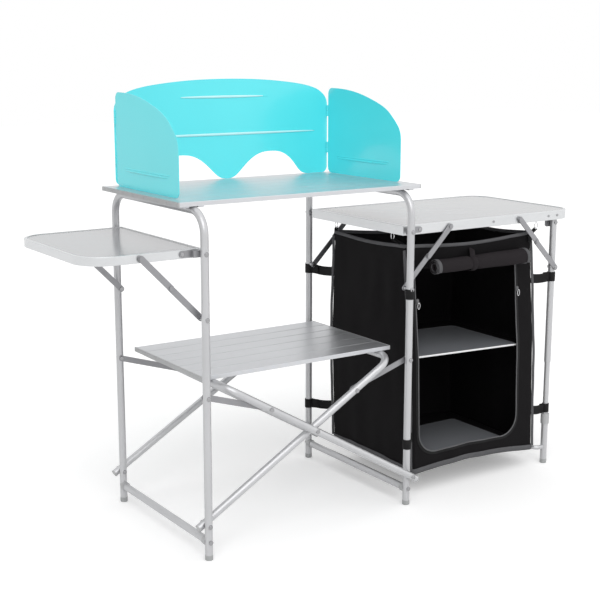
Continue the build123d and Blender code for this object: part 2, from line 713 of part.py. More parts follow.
def strap_tail(leg_x, leg_y, start_r, z, corner):
    """The straight part of a leg strap, from start_r off the leg's axis to the bag's corner."""
    leg = Vector(leg_x, leg_y, z)
    along = Vector(corner[0], corner[1], z) - leg
    end = along.length - BAG_ROUND - SEAT_GAP
    middle = leg + along.normalized() * ((start_r + end) / 2)
    return Plane(origin=middle, x_dir=along, z_dir=(0, 0, 1)) * Box(end - start_r, STRAP_T, STRAP_H)


def leg_strap(leg_x, leg_y, z, corner):
    """A strap round a wide tube, joined to its tail."""
    start = TUBE_R + SEAT_GAP + STRAP_T / 2
    return strap_loop(leg_x, leg_y, TUBE_R, z) + strap_tail(leg_x, leg_y, start, z, corner)


def bag_corners():
    """The (x, y) middles of the bag's four round upright corners, left front first."""
    xs = (BAG_X0 + BAG_ROUND, BAG_X1 - BAG_ROUND)
    ys = (BAG_Y0 + BAG_ROUND, BAG_Y1 - BAG_ROUND)
    return [(x, y) for x in xs for y in ys]


def bag_hooks():
    """The wire rings under the table's rim and the webbing tabs that hang the bag from them."""
    made = []
    under = SIDE_TOP_Z - TABLE_RIM - FIT
    drop = under - HOOK_STEM - 2 * HOOK_RING
    for cx, cy in bag_corners():
        side = facing(cy, TABLE_MID_Y)
        y = (SHELL_Y[0] if side > 0 else SHELL_Y[1]) + side * RIM_WALL / 2
        x = cx + HOOK_IN * (1 if cx < (BAG_X0 + BAG_X1) / 2 else -1)
        eye = rod((x, y, under - HOOK_STEM), (x, y, under), HOOK_WIRE)
        loop = Pos(x, y, under - HOOK_STEM - HOOK_RING) * Rot(90, 0, 0) * Torus(HOOK_RING, HOOK_WIRE)
        face = (BAG_Y0 if side > 0 else BAG_Y1) - side * (SEAT_GAP + STRAP_T / 2)
        bend = (x, face, BAG_Z1 + 2)
        slant = strap_bar((x, y, drop + 1), bend, TAB_W, STRAP_T)
        half = STRAP_T / 2
        flat = block(x - TAB_W / 2, x + TAB_W / 2, face - half, face + half, BAG_Z1 - TAB_H, bend[2])
        made.append(eye + loop + slant + flat)
    return made


def zip_tapes():
    """The zip tapes down the two straight sides of the door opening."""
    z0 = DOOR_Z0 + DOOR_CORNER
    z1 = DOOR_Z0 + DOOR_HEIGHT - DOOR_CORNER
    made = []
    for edge, side in ((DOOR_X0, -1), (DOOR_X1, 1)):
        made.append(block(edge, edge + side * ZIP_TAPE_W, BAG_Y0 - ZIP_TAPE_T, BAG_Y0, z0, z1))
    return made


def zip_slider(edge, side):
    """A zip slider with its pull, near the top of a zip tape."""
    x = edge + side * ZIP_TAPE_W / 2
    z = DOOR_Z0 + DOOR_HEIGHT - DOOR_CORNER - 8
    y = BAG_Y0 - ZIP_TAPE_T - 0.2
    body = block(x - 3.5, x + 3.5, y - 2.6, y, z - 5, z + 5)
    body = fillet(body.edges().filter_by(Axis.Y), 2.0)
    pull = block(x - 2.5, x + 2.5, y - 3.8, y - 2.6, z - 22, z + 2)
    return body + fillet(pull.edges().filter_by(Axis.Y), 1.5)


def shield_back_face():
    """The outline of the windshield's back panel: an arched top, and two arches between three feet."""
    half, corner, peak = SHIELD_HALF, SHIELD_CORNER_H, SHIELD_PEAK_H
    r = SHIELD_CORNER_R
    right = [
        Spline((0, peak), (half * 0.32, peak - 2.5), (half * 0.6, peak - 10), (half - r, corner),
               tangents=[(1, 0), (1, -0.33)]),
        Spline((half - r, corner), (half - r * 0.3, corner - r * 0.41), (half, corner - r * 1.1),
               tangents=[(1, -0.33), (0, -1)]),
        Line((half, corner - r * 1.1), (half, FOOT_ROUND)),
        RadiusArc((half, FOOT_ROUND), (half - FOOT_ROUND, 0), FOOT_ROUND),
        Line((half - FOOT_ROUND, 0), (ARCH_X + ARCH_HALF, 0)),
        Spline((ARCH_X + ARCH_HALF, 0), (ARCH_X + ARCH_HALF * 0.62, ARCH_H * 0.47),
               (ARCH_X + ARCH_HALF * 0.26, ARCH_H * 0.94), (ARCH_X, ARCH_H),
               (ARCH_X - ARCH_HALF * 0.28, ARCH_H * 0.94), (LOBE_HALF, ARCH_H * 0.5),
               (LOBE_HALF * 0.55, ARCH_H * 0.15), (0, 0), tangents=[(-1, 0), (-1, 0)]),
    ]
    half_face = make_face(right + [Line((0, 0), (0, peak))])
    return half_face + mirror(half_face, about=Plane.YZ)


def shield_back():
    """The back panel of the windshield, with its two pressed lines and its hinge knuckles."""
    face = Plane.XZ * shield_back_face()
    sheet = Pos(SHIELD_X, SHIELD_Y + SHIELD_T / 2, SHIELD_Z) * extrude(face, amount=SHIELD_T)
    for z, reach in ((205, 122), (112, 225)):
        y = SHIELD_Y - SHIELD_T / 2 + BEAD_R * 0.4
        sheet = sheet + rod((SHIELD_X - reach, y, SHIELD_Z + z), (SHIELD_X + reach, y, SHIELD_Z + z), BEAD_R)
    for x, side in zip(HINGE_XS, (-1, 1)):
        for z in HINGE_ZS:
            z0 = SHIELD_Z + z
            edge = SHIELD_X + side * SHIELD_HALF
            knuckle = rod((x, HINGE_Y, z0), (x, HINGE_Y, z0 + KNUCKLE_H), KNUCKLE_R)
            tab = block(edge - side * 4, x, SHIELD_Y - 1.6, SHIELD_Y + SHIELD_T / 2, z0, z0 + KNUCKLE_H)
            sheet = sheet + knuckle + tab
            sheet = sheet - rod((x, HINGE_Y, z0 - 1), (x, HINGE_Y, z0 + KNUCKLE_H + 1), HINGE_PIN_R)
    return sheet


def hinge_pins():
    """The pins through the windshield's knuckles."""
    made = []
    for x in HINGE_XS:
        for z in HINGE_ZS:
            z0 = SHIELD_Z + z
            made.append(rod((x, HINGE_Y, z0), (x, HINGE_Y, z0 + 2 * KNUCKLE_H + 0.4), HINGE_PIN_R))
    return made


def shield_wing(x):
    """A side wing of the windshield, standing square to the back panel, with its knuckles."""
    start = WING_START
    length = WING_LENGTH
    edges = [
        Line((start, FOOT_ROUND), (start, WING_BACK_H - FOOT_ROUND)),
        RadiusArc((start, WING_BACK_H - FOOT_ROUND), (start + FOOT_ROUND, WING_BACK_H), FOOT_ROUND),
        Spline((start + FOOT_ROUND, WING_BACK_H), (length * 0.2, WING_BACK_H - 1),
               (length * 0.42, WING_BACK_H - 9), (length * 0.67, WING_BACK_H - 29),
               (length * 0.83, WING_BACK_H - 50), (length * 0.93, WING_BACK_H - 75),
               (length, WING_FRONT_H), tangents=[(1, 0), (0, -1)]),
        Line((length, WING_FRONT_H), (length, FOOT_ROUND)),
        RadiusArc((length, FOOT_ROUND), (length - FOOT_ROUND, 0), FOOT_ROUND),
        Line((length - FOOT_ROUND, 0), (start + FOOT_ROUND, 0)),
        RadiusArc((start + FOOT_ROUND, 0), (start, FOOT_ROUND), FOOT_ROUND),
    ]
    frame = Plane(origin=(x - SHIELD_T / 2, HINGE_Y, SHIELD_Z), x_dir=(0, -1, 0), z_dir=(-1, 0, 0))
    face = frame * make_face(edges)
    wing = extrude(face, amount=SHIELD_T, dir=(1, 0, 0))
    bead_z = SHIELD_Z + WING_BEAD_H
    inward = 1 if x < SHIELD_X else -1
    bead_x = x + inward * (SHIELD_T / 2 - BEAD_R * 0.4)
    near, far = HINGE_Y - WING_BEAD_IN, HINGE_Y - length + WING_BEAD_IN
    wing = wing + rod((bead_x, near, bead_z), (bead_x, far, bead_z), BEAD_R)
    for z in HINGE_ZS:
        z0 = SHIELD_Z + z + KNUCKLE_H + 0.4
        wing = wing + rod((x, HINGE_Y, z0), (x, HINGE_Y, z0 + KNUCKLE_H), KNUCKLE_R)
        wing = wing + block(x - SHIELD_T / 2, x + SHIELD_T / 2, HINGE_Y - 8, HINGE_Y - 2, z0, z0 + KNUCKLE_H)
        wing = wing - rod((x, HINGE_Y, z0 - 1), (x, HINGE_Y, z0 + KNUCKLE_H + 1), HINGE_PIN_R + 0.1)
    return wing


def tray_struts(maker):
    """One strut link in front and one at the back of the tray."""
    return [maker(0, -1, rim, TRAY_MID_Y, TRAY_PIVOT_Z, STRUT_REACH, STRUT_KNEE) for rim in TRAY_Y]


def table_struts(maker):
    """The strut links from the right legs and the outer legs to the cupboard table's rim."""
    made = []
    for rim in SHELL_Y:
        made.append(maker(FRAME_SPACING, 1, rim, TABLE_MID_Y, TABLE_PIVOT_Z, STRUT_REACH, STRUT_KNEE))
        made.append(maker(OUTER_X, -1, rim, TABLE_MID_Y, TABLE_PIVOT_Z, OUTER_STRUT_REACH, OUTER_STRUT_KNEE))
    return made


def build_pieces():
    """Every node's name and its solids."""
    top_y0 = WHOLE_MID_Y - TOP_DEPTH / 2
    shelf_y0 = WHOLE_MID_Y - SHELF_DEPTH / 2
    top_x0 = HALF_SPAN - TOP_LENGTH / 2
    pieces = {}
    for name, x, ys, bracket_z in (("left", 0.0, LEFT_YS, TRAY_PIVOT_Z),
                                   ("right", FRAME_SPACING, RIGHT_YS, TABLE_PIVOT_Z)):
        pieces[name + "_leg_frame"] = [frame_tube(x, ys, bracket_z)]
        pieces[name + "_low_rail"] = [low_rail(x, ys)]
        pieces[name + "_rail_plugs"] = rail_plugs(x, ys)
        pieces[name + "_feet"] = feet([(x, y) for y in ys], TUBE_R - TUBE_WALL)
        pieces[name + "_frame_rivets"] = (link_rivets(x, ys) + rail_screws(x, ys)
                                          + pivot_rivets(x, PIVOT_Z, 0, FRAME_DEPTH))
    pieces["scissor_arm_b"] = [scissor_arm(0, 1, RIGHT_YS)]
    pieces["scissor_arm_a"] = [scissor_arm(FRAME_SPACING, -1, LEFT_YS)]
    pieces["arm_b_caps"] = arm_caps(0, 1, RIGHT_YS)
    pieces["arm_a_caps"] = arm_caps(FRAME_SPACING, -1, LEFT_YS)
    pieces["arm_b_rivets"] = (arm_rivets(FRAME_SPACING - LINK_REACH, RIGHT_YS)
                              + pivot_rivets(HALF_SPAN, CROSS_Z, 0, FRAME_DEPTH))
    pieces["arm_a_rivets"] = arm_rivets(LINK_REACH, LEFT_YS)
    pieces["left_links"] = links(0, 1, LEFT_YS)
    pieces["right_links"] = links(FRAME_SPACING, -1, RIGHT_YS)

    pieces["main_top_slats"] = slats(top_x0, TOP_LENGTH, top_y0, TOP_DEPTH, TOP_SLATS, TOP_UNDER)
    pieces["main_top_caps"] = slat_caps(top_x0, TOP_LENGTH, top_y0, TOP_DEPTH, TOP_SLATS, TOP_UNDER)
    off_rail = TUBE_R + BATTEN_PLAY
    batten_xs = (-off_rail - BATTEN_W, off_rail, FRAME_SPACING + off_rail)
    pieces["main_top_battens"] = battens(batten_xs, top_y0 + 8, top_y0 + TOP_DEPTH - 8, TOP_UNDER)
    pieces["shelf_slats"] = slats(SHELF_X, SHELF_LENGTH, shelf_y0, SHELF_DEPTH, SHELF_SLATS, SHELF_UNDER)
    pieces["shelf_caps"] = slat_caps(SHELF_X, SHELF_LENGTH, shelf_y0, SHELF_DEPTH, SHELF_SLATS, SHELF_UNDER)
    bar_xs = (FRAME_SPACING - SCISSOR_REACH, SCISSOR_REACH)
    shelf_battens = (bar_xs[0] - off_rail - BATTEN_W, bar_xs[1] - TUBE_R - CLIP_BATTEN_PLAY - BATTEN_W)
    pieces["shelf_battens"] = battens(shelf_battens, shelf_y0 + 8, shelf_y0 + SHELF_DEPTH - 8, SHELF_UNDER)
    clip_ys = (shelf_y0 + CLIP_INSET, shelf_y0 + SHELF_DEPTH - CLIP_INSET)
    pieces["shelf_clips"] = rail_clips(SCISSOR_REACH, BAR_Z, clip_ys, SHELF_UNDER, TUBE_R)

    tray_x = TABLE_END_IN
    tray_size = (TRAY_LENGTH, TRAY_DEPTH, TRAY_CORNER)
    tray_holes = [(-TRAY_BRACKET_REACH, TRAY_PIVOT_Z, y - 5, y + 5, PIN_R + FIT) for y in TRAY_Y]
    pieces["tray_rim"] = [table_rim(tray_x, TRAY_MID_Y, *tray_size, TRAY_RIM, -1, tray_holes)]
    pieces["tray_board"] = [table_board(tray_x, TRAY_MID_Y, *tray_size, -1)]
    pieces["tray_brackets"] = []
    pieces["tray_rivets"] = []
    for leg_y, rim_y in zip(LEFT_YS, TRAY_Y):
        place = (0, leg_y, rim_y, TRAY_PIVOT_Z, -1, TRAY_BRACKET_REACH)
        pieces["tray_brackets"].append(leg_bracket(*place))
        pieces["tray_rivets"] += bracket_rivets(*place) + [strut_rivet(0, leg_y, rim_y, TRAY_MID_Y)]
    pieces["tray_lower_struts"] = tray_struts(lower_strut)
    pieces["tray_upper_struts"] = tray_struts(upper_strut)

    table_size = (TABLE_LENGTH, TABLE_DEPTH, TABLE_CORNER)
    table_hole_x = FRAME_SPACING + TABLE_BRACKET_REACH
    table_holes = [(table_hole_x, TABLE_PIVOT_Z, y - 5, y + 5, PIN_R + FIT) for y in SHELL_Y]
    pieces["table_rim"] = [table_rim(TABLE_X0, TABLE_MID_Y, *table_size, TABLE_RIM, 1, table_holes)]
    pieces["table_board"] = [table_board(TABLE_X0, TABLE_MID_Y, *table_size, 1)]
    pieces["table_brackets"] = []
    pieces["table_rivets"] = rim_rivets() + ear_bolts()
    for leg_y, outer_y, rim_y in zip(RIGHT_YS, OUTER_YS, SHELL_Y):
        place = (FRAME_SPACING, leg_y, rim_y, TABLE_PIVOT_Z, 1, TABLE_BRACKET_REACH)
        pieces["table_brackets"].append(leg_bracket(*place))
        pieces["table_rivets"] += bracket_rivets(*place)
        pieces["table_rivets"].append(strut_rivet(FRAME_SPACING, leg_y, rim_y, TABLE_MID_Y))
        pieces["table_rivets"].append(strut_rivet(OUTER_X, outer_y, rim_y, TABLE_MID_Y))
    pieces["table_lower_struts"] = table_struts(lower_strut)
    pieces["table_upper_struts"] = table_struts(upper_strut)
    pieces["table_ears"] = table_ears()

    pieces["outer_legs"] = [outer_upper(y) for y in OUTER_YS]
    pieces["outer_lower_legs"] = [outer_lower(y) for y in OUTER_YS]
    pieces["front_button"] = [button(OUTER_YS[0])]
    pieces["rear_button"] = [button(OUTER_YS[1])]
    pieces["outer_collars"] = [collar(y) for y in OUTER_YS]
    pieces["outer_feet"] = feet([(OUTER_X, y) for y in OUTER_YS], TUBE_R - TUBE_WALL)
    pieces["outer_low_rail"] = [lower_rail()]

    pieces["cupboard_bag"] = [bag_shell()]
    pieces["bag_floor_board"] = [bag_board(BAG_Z0 + BAG_WALL, SHEET_T)]
    pieces["bag_mid_board"] = [bag_board(MID_BOARD_Z, SHEET_T)]
    pieces["door_roll"] = [door_roll()]
    pieces["roll_tie"] = [roll_tie()]
    pieces["zip_tapes"] = zip_tapes()
    pieces["left_zip_slider"] = [zip_slider(DOOR_X0, -1)]
    pieces["right_zip_slider"] = [zip_slider(DOOR_X1, 1)]
    corners = bag_corners()
    low_z, high_z = STRAP_ZS
    straps = []
    for right_y, outer_y, near_corner, far_corner in zip(RIGHT_YS, OUTER_YS, corners[:2], corners[2:]):
        straps.append(leg_strap(FRAME_SPACING, right_y, low_z, near_corner))
        straps.append(leg_strap(FRAME_SPACING, right_y, high_z, near_corner))
        straps.append(leg_strap(OUTER_X, outer_y, high_z, far_corner))
        straps.append(strap_tail(OUTER_X, outer_y, COLLAR_R + LOOP_PLAY, low_z, far_corner))
    pieces["leg_straps"] = straps
    pieces["low_strap_loops"] = [strap_loop(OUTER_X, y, INNER_R, STRAP_ZS[0]) for y in OUTER_YS]
    pieces["bag_hooks"] = bag_hooks()

    pieces["windshield_back"] = [shield_back()]
    pieces["windshield_pins"] = hinge_pins()
    pieces["windshield_left_wing"] = [shield_wing(HINGE_XS[0])]
    pieces["windshield_right_wing"] = [shield_wing(HINGE_XS[1])]
    return pieces


def origin_shift(pieces):
    """The move that puts the middle of the footprint at the origin."""
    box = Compound([s for group in pieces.values() for piece in group for s in piece.solids()]).bounding_box()
    return Vector(-(box.min.X + box.max.X) / 2, -(box.min.Y + box.max.Y) / 2, -box.min.Z)


PIECES = build_pieces()
SHIFT = origin_shift(PIECES)

os.makedirs("parts", exist_ok=True)
for node, group in PIECES.items():
    solids = [s for piece in group for s in piece.solids()]
    moved = Compound([s.moved(Location(SHIFT)) for s in solids])
    export_step(moved, "parts/" + node + ".step")
print(len(PIECES), "nodes, shift", SHIFT)
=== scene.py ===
from math import pi, radians

import bpy
import numpy as np
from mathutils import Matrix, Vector


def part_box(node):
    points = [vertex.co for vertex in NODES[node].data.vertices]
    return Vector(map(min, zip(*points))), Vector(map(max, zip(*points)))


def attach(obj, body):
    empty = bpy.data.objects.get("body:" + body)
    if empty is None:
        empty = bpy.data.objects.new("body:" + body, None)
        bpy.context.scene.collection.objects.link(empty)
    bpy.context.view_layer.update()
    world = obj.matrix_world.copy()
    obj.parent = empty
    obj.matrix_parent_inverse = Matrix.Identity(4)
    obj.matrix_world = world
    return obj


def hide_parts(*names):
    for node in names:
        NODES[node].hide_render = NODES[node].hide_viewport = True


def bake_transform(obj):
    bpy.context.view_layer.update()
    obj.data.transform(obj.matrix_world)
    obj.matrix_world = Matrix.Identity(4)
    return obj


# A camping kitchen table: folding metal stand, slatted tops, turquoise windshield, side tray,
# and a cupboard table with a hanging cloth cupboard. Metres, with +X to the right and +Z up.

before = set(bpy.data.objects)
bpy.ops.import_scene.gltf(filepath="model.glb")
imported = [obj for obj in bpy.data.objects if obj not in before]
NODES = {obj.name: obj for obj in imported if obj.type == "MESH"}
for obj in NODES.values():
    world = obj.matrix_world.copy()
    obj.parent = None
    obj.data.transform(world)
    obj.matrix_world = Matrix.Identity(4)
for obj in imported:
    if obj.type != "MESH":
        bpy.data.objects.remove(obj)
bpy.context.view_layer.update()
MM = 0.001


def ends(node):
    """The low and the high corner of a node's box."""
    return [np.array(corner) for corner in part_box(node)]


# Places read from the frame, and the radii of the tubes there
BAG_LOW, BAG_HIGH = ends("cupboard_bag")
MID_LOW, MID_HIGH = ends("bag_mid_board")
FLOOR_LOW, FLOOR_HIGH = ends("bag_floor_board")
ROLL_LOW, ROLL_HIGH = ends("door_roll")
TAPE_LOW, TAPE_HIGH = ends("zip_tapes")
RIGHT_LOW, RIGHT_HIGH = ends("right_leg_frame")
OUTER_LOW, OUTER_HIGH = ends("outer_legs")
STRAP_LOW, STRAP_HIGH = ends("leg_straps")
RIM_LOW, RIM_HIGH = ends("table_rim")
TUBE_R = 9.0 * MM
INNER_R = 7.5 * MM
RIGHT_X = RIGHT_LOW[0] + TUBE_R
RIGHT_YS = (RIGHT_LOW[1] + TUBE_R, RIGHT_HIGH[1] - TUBE_R)
OUTER_X = OUTER_LOW[0] + TUBE_R
OUTER_YS = (OUTER_LOW[1] + TUBE_R, OUTER_HIGH[1] - TUBE_R)

# The bag: its corners, the lean of its top and foot, and the sag, drop and arch of each side, front first
BAG_ROUND = 12.0 * MM
CLOTH = 1.2 * MM
TOP_LEFT = 22.0 * MM
TOP_BACK = 5.0 * MM
TOP_REAR_IN = 42.0 * MM
FOOT_RIGHT = 10.0 * MM
SAGS = np.array([10.0, 9.0, 16.0, 6.0]) * MM
FOOT_DROP = np.array([8.0, 18.0, 4.0, 2.0]) * MM
FOOT_ARCH = np.array([12.5, 5.0, 2.0, 4.0]) * MM
FOOT_WAVE = 0.7 * MM
FLOOR_UNDER = 1.5 * MM

# How far the cloth's slack, creases, pulls at its top corners and ripple beside the door stand out or in
SLACK = 2.6 * MM
FRONT_SLACK = 0.3
CREASE = 0.42 * MM
CREASE_COUNT = 9
PULL = 2.2 * MM
PULL_WAVES = 24
RIPPLE = 1.5 * MM
DEEPEST = 0.9 * MM

# Hems, and the width and bearing of the binding up each corner
HEM_W = 9.0 * MM
HEM_T = 3.2 * MM
LOW_HEM_W = 14.0 * MM
LOW_HEM_UP = 0.004
LOW_HEM_PROUD = 1.0 * MM
BINDINGS = ((13.0 * MM, 198), (7.0 * MM, 335), (7.0 * MM, 45), (7.0 * MM, 135))
BINDING_T = 2.4 * MM
BINDING_OFF = 0.2 * MM

# The door and its zip
DOOR_CORNER = 60.0 * MM
DOOR_TOP_CORNER = 14.0 * MM
DOOR_TOP_UP = 12.0 * MM
TAPE_W = 7.0 * MM
ZIP_TAPE_W = 10.0 * MM
ZIP_TAPE_T = 0.8 * MM
ZIP_TAPE_OUT = 4.0 * MM
ZIP_PROUD = 0.5 * MM
COIL_R = 1.7 * MM
SLIDER_HALF = np.array([4.5, 2.6, 7.0]) * MM
SLIDER_SOFT = 0.6
SLIDER_ASIDE = 3.5 * MM
SLIDER_UP = 7.0 * MM
SLIDER_PROUD = 3.4 * MM
SLIDER_PULL_HALF = (3.6 * MM, 8.0 * MM)
SLIDER_PULL_AT = (-6.5 * MM, -10.0 * MM)
SLIDER_WIRE = 0.9 * MM

# The rolled door and its tie
ROLL_BACK = 6.0 * MM
ROLL_LOOSE = 2.2 * MM
ROLL_CLOTH = 1.1 * MM
ROLL_CORE = 5.0 * MM
ROLL_SKIN = 0.8 * MM
ROLL_TURNS = 3.5
ROLL_START = 0.6
ROLL_WAIST = 0.17
ROLL_WAIST_RUN = 0.035
ROLL_CREASES = (0.4 * MM, 0.32 * MM)
ROLL_BOUND = 2.0 * MM
ROLL_BOUND_GROW = 1.03
TIE_LEFT = 18.0 * MM
TIE_SLANT = 38.0 * MM
TIE_DOWN = 14.0 * MM
TIE_PROUD = 1.6 * MM
TIE_SNUG = 0.87
TIE_W = 17.0 * MM
TIE_T = 1.2 * MM

# Straps round the legs
STRAP_H = 25.0 * MM
STRAP_T = 1.6 * MM
STRAP_UP = 14.0 * MM
STRAP_DIP = 2.5 * MM
STRAP_PROUD = 0.4 * MM
STRAP_MOUTH = 0.25
STRAP_BACK = 0.3
STRAP_FIXED = 10.0 * MM
PLAY = 0.3 * MM

# Hooks under the rim and their webbing tabs
HOOK_BACK = 55.0 * MM
HOOK_IN = 20.0 * MM
HOOK_REACH = 20.0 * MM
HOOK_BAR_IN = 2.0 * MM
HOOK_DROP = 11.0 * MM
RING_HALF = (6.0 * MM, 8.0 * MM)
RING_WIRE = 1.1 * MM
EYE_WIRE = 1.3 * MM
EYE_ALONG = np.array([0, 1 / 2, 8 / 9, 1, 1])
EYE_UP = np.array([2.5, 2.4, 1.5, -0.5, -4.0]) * MM
TAB_IN = 9.0 * MM
TAB_HOLD = 6.0 * MM
TAB_DOWN = np.array([4.0, 24.0]) * MM
TAB_PROUD = 2.2 * MM
TAB_W = 12.0 * MM
TAB_T = 1.8 * MM

# Boards in the cupboard
BOARD_IN = 3.0 * MM
BOARD_LENGTH = 366.0 * MM
BOARD_DEPTH = 262.0 * MM
BOARD_GAP = 0.2 * MM
BOARD_CORNER = 16.0 * MM
BOARD_CLOTH_CORNER = 8.0 * MM
MID_TILT = 15.0 * MM
PIPING_R = 0.9 * MM
SLAB_EASE = 0.5 * MM
SLAB_FLAT = 4.0 * MM
STRIP_IN = 8.0 * MM
STRIP_PROUD = 0.5 * MM
STRIP_W = 4.6 * MM
STRIP_T = 0.8 * MM

# Ribs pressed in the windshield: of each rib on its back the name, height, half length and shift to the right
SHEET_T = 1.2 * MM
PANEL_SETBACK = 6.0 * MM
BEAD_W = 6.5 * MM
BEAD_H = 2.2 * MM
BEAD_TAPER = 0.35
BEAD_SINK = 0.1 * MM
BACK_BEADS = (("upper", 205.0 * MM, 120.0 * MM, -10.0 * MM), ("lower", 112.0 * MM, 268.0 * MM, 0.0))
WING_BEAD_UP = 41.0 * MM
WING_BEAD_IN = 50.0 * MM

# Light: the sky's strength, the floor's own white, and of each sun its direction, angle and strength
SKY = 0.5
FLOOR_TONE = 0.9
FLOOR_MARGIN = 0.15
FLOOR_SIZE = 30
SUNS = {"key": ((-1.0, -2.0, 2.0), 50, 1.25), "fill": ((2.6, -2.2, 1.2), 70, 0.45),
        "top": ((0.2, 0.4, 3.0), 80, 0.55)}

# The camera, fitted to the photograph
VIEW_PLACE = (-1.7131, -2.4641, 1.130)
VIEW_YAW = radians(33.97)
VIEW_PITCH = radians(11.70)
VIEW_ROLL = radians(-0.07)
VIEW_LENS = 72.48
VIEW_SENSOR = 36.0


class Signal:
    """A socket in one node tree, with arithmetic that adds Math nodes."""

    def __init__(self, tree, socket):
        self.tree, self.socket = tree, socket

    def math(self, operation, other):
        return self.tree.node("ShaderNodeMath", {"operation": operation}, {0: self, 1: other})

    def __add__(self, other):
        return self.math("ADD", other)

    def __mul__(self, other):
        return self.math("MULTIPLY", other)

    __radd__ = __add__
    __rmul__ = __mul__


class ShaderTree:
    """A node tree, with one method that makes any node in it."""

    def __init__(self, tree):
        self.tree = tree

    def join(self, socket, value):
        """Links a signal to a socket, or sets a constant on it."""
        if isinstance(value, Signal):
            self.tree.links.new(value.socket, socket)
        else:
            socket.default_value = value

    def node(self, kind, settings, inputs, output=0):
        """A node of that kind, its settings set first, then the values or links of its sockets."""
        made = self.tree.nodes.new(kind)
        for key, value in settings.items():
            setattr(made, key, value)
        for key, value in inputs.items():
            self.join(made.inputs[key], value)
        return Signal(self, made.outputs[output])

    def rays(self, *kinds):
        """For each kind of ray, a signal that is one for such rays and nothing for the others."""
        path = self.tree.nodes.new("ShaderNodeLightPath")
        return [Signal(self, path.outputs["Is %s Ray" % kind]) for kind in kinds]


class Finish(ShaderTree):
    """A material round one shader, with its patterns."""

    def __init__(self, name, **sockets):
        self.material = bpy.data.materials.new(name)
        self.material.use_nodes = True
        super().__init__(self.material.node_tree)
        self.shader = self.tree.nodes["Principled BSDF"]
        for socket, value in sockets.items():
            self.feed(socket.replace("_", " "), value)

    def feed(self, socket, value):
        """Joins a value to one of the shader's own sockets."""
        self.join(self.shader.inputs[socket], value)

    def place(self, stretch=(1, 1, 1)):
        """Object coordinates, stretched along each axis."""
        spot = self.node("ShaderNodeTexCoord", {}, {}, "Object")
        return self.node("ShaderNodeMapping", {}, {"Vector": spot, "Scale": stretch})

    def along(self):
        """The piece's own UV map, in metres along and across it."""
        return self.node("ShaderNodeUVMap", {"uv_map": "run"}, {})

    def noise(self, scale, detail, vector=None):
        inputs = {"Vector": vector or self.place(), "Scale": scale, "Detail": detail, "Roughness": 0.55}
        return self.node("ShaderNodeTexNoise", {}, inputs)

    def ridges(self, scale, direction, vector=None):
        settings = {"wave_type": "BANDS", "bands_direction": direction}
        return self.node("ShaderNodeTexWave", settings, {"Vector": vector or self.place(), "Scale": scale})

    def colour(self, factor, dark, light):
        """The base colour, from dark where the factor is nothing to light where it is one."""
        inputs = {0: factor, 6: (*dark, 1.0), 7: (*light, 1.0)}
        self.feed("Base Color", self.node("ShaderNodeMix", {"data_type": "RGBA"}, inputs, 2))

    def gloss(self, factor, spread, middle):
        """A roughness that the factor varies by spread round its middle value."""
        self.feed("Roughness", factor * spread + (middle - spread / 2))

    def relief(self, height, distance, strength=1.0):
        """A bump that feeds the shader's normal; distance is the height of full white."""
        bump = self.node("ShaderNodeBump", {}, {"Height": height, "Distance": distance, "Strength": strength})
        self.feed("Normal", bump)


def weigh(first, second, share):
    """Two patterns mixed, with that share of the first."""
    return first * share + second * (1 - share)


def drawn_metal(name, light, dark, roughness, metallic, grain):
    """Drawn or brushed metal: fine streaks along the grain, with soft clouding in its tone."""
    finish = Finish(name, Metallic=metallic)
    streak = finish.noise(scale=55.0, detail=4.0, vector=finish.place(grain))
    cloud = finish.noise(scale=9.0, detail=2.0)
    finish.colour(weigh(streak, cloud, share=0.7), dark, light)
    finish.gloss(streak, spread=0.12, middle=roughness)
    finish.relief(streak, distance=0.03 * MM)
    return finish.material


def laminate(name, light, dark, roughness):
    """A smooth laminate or painted board: very fine speckle under a clear gloss."""
    finish = Finish(name, Coat_Weight=0.35, Coat_Roughness=0.12)
    speckle = finish.noise(scale=900.0, detail=2.0)
    cloud = finish.noise(scale=6.0, detail=2.0)
    finish.colour(weigh(speckle, cloud, share=0.6), dark, light)
    finish.gloss(cloud, spread=0.08, middle=roughness)
    finish.relief(speckle, distance=0.02 * MM)
    return finish.material


def painted_sheet(name, light, dark):
    """The windshield's paint: smooth and glossy, with a faint orange-peel surface."""
    finish = Finish(name, Coat_Weight=0.3, Coat_Roughness=0.1)
    cloud = finish.noise(scale=4.0, detail=2.0)
    peel = finish.noise(scale=420.0, detail=2.0)
    finish.colour(cloud, dark, light)
    finish.gloss(cloud, spread=0.08, middle=0.26)
    finish.relief(peel, distance=0.03 * MM)
    return finish.material


def moulded(name, light, dark, roughness):
    """Moulded plastic: a fine matt grain and slight clouding."""
    finish = Finish(name)
    grain = finish.noise(scale=650.0, detail=2.0)
    cloud = finish.noise(scale=22.0, detail=2.0)
    finish.colour(cloud, dark, light)
    finish.gloss(grain, spread=0.12, middle=roughness)
    finish.relief(grain, distance=0.05 * MM)
    return finish.material


def woven(name, light, dark, thread):
    """Plain woven cloth: two crossed sets of threads and slight fading, with hardly any gloss."""
    finish = Finish(name, Specular_IOR_Level=0.12)
    across = finish.ridges(thread, "DIAGONAL")
    upright = finish.ridges(thread, "Z")
    weave = across * upright
    fade = finish.noise(scale=7.0, detail=4.0)
    finish.colour(weigh(fade, weave, share=0.7), dark, light)
    finish.gloss(fade, spread=0.15, middle=0.795)
    finish.relief(weave + fade * 0.6, distance=0.3 * MM, strength=0.6)
    return finish.material


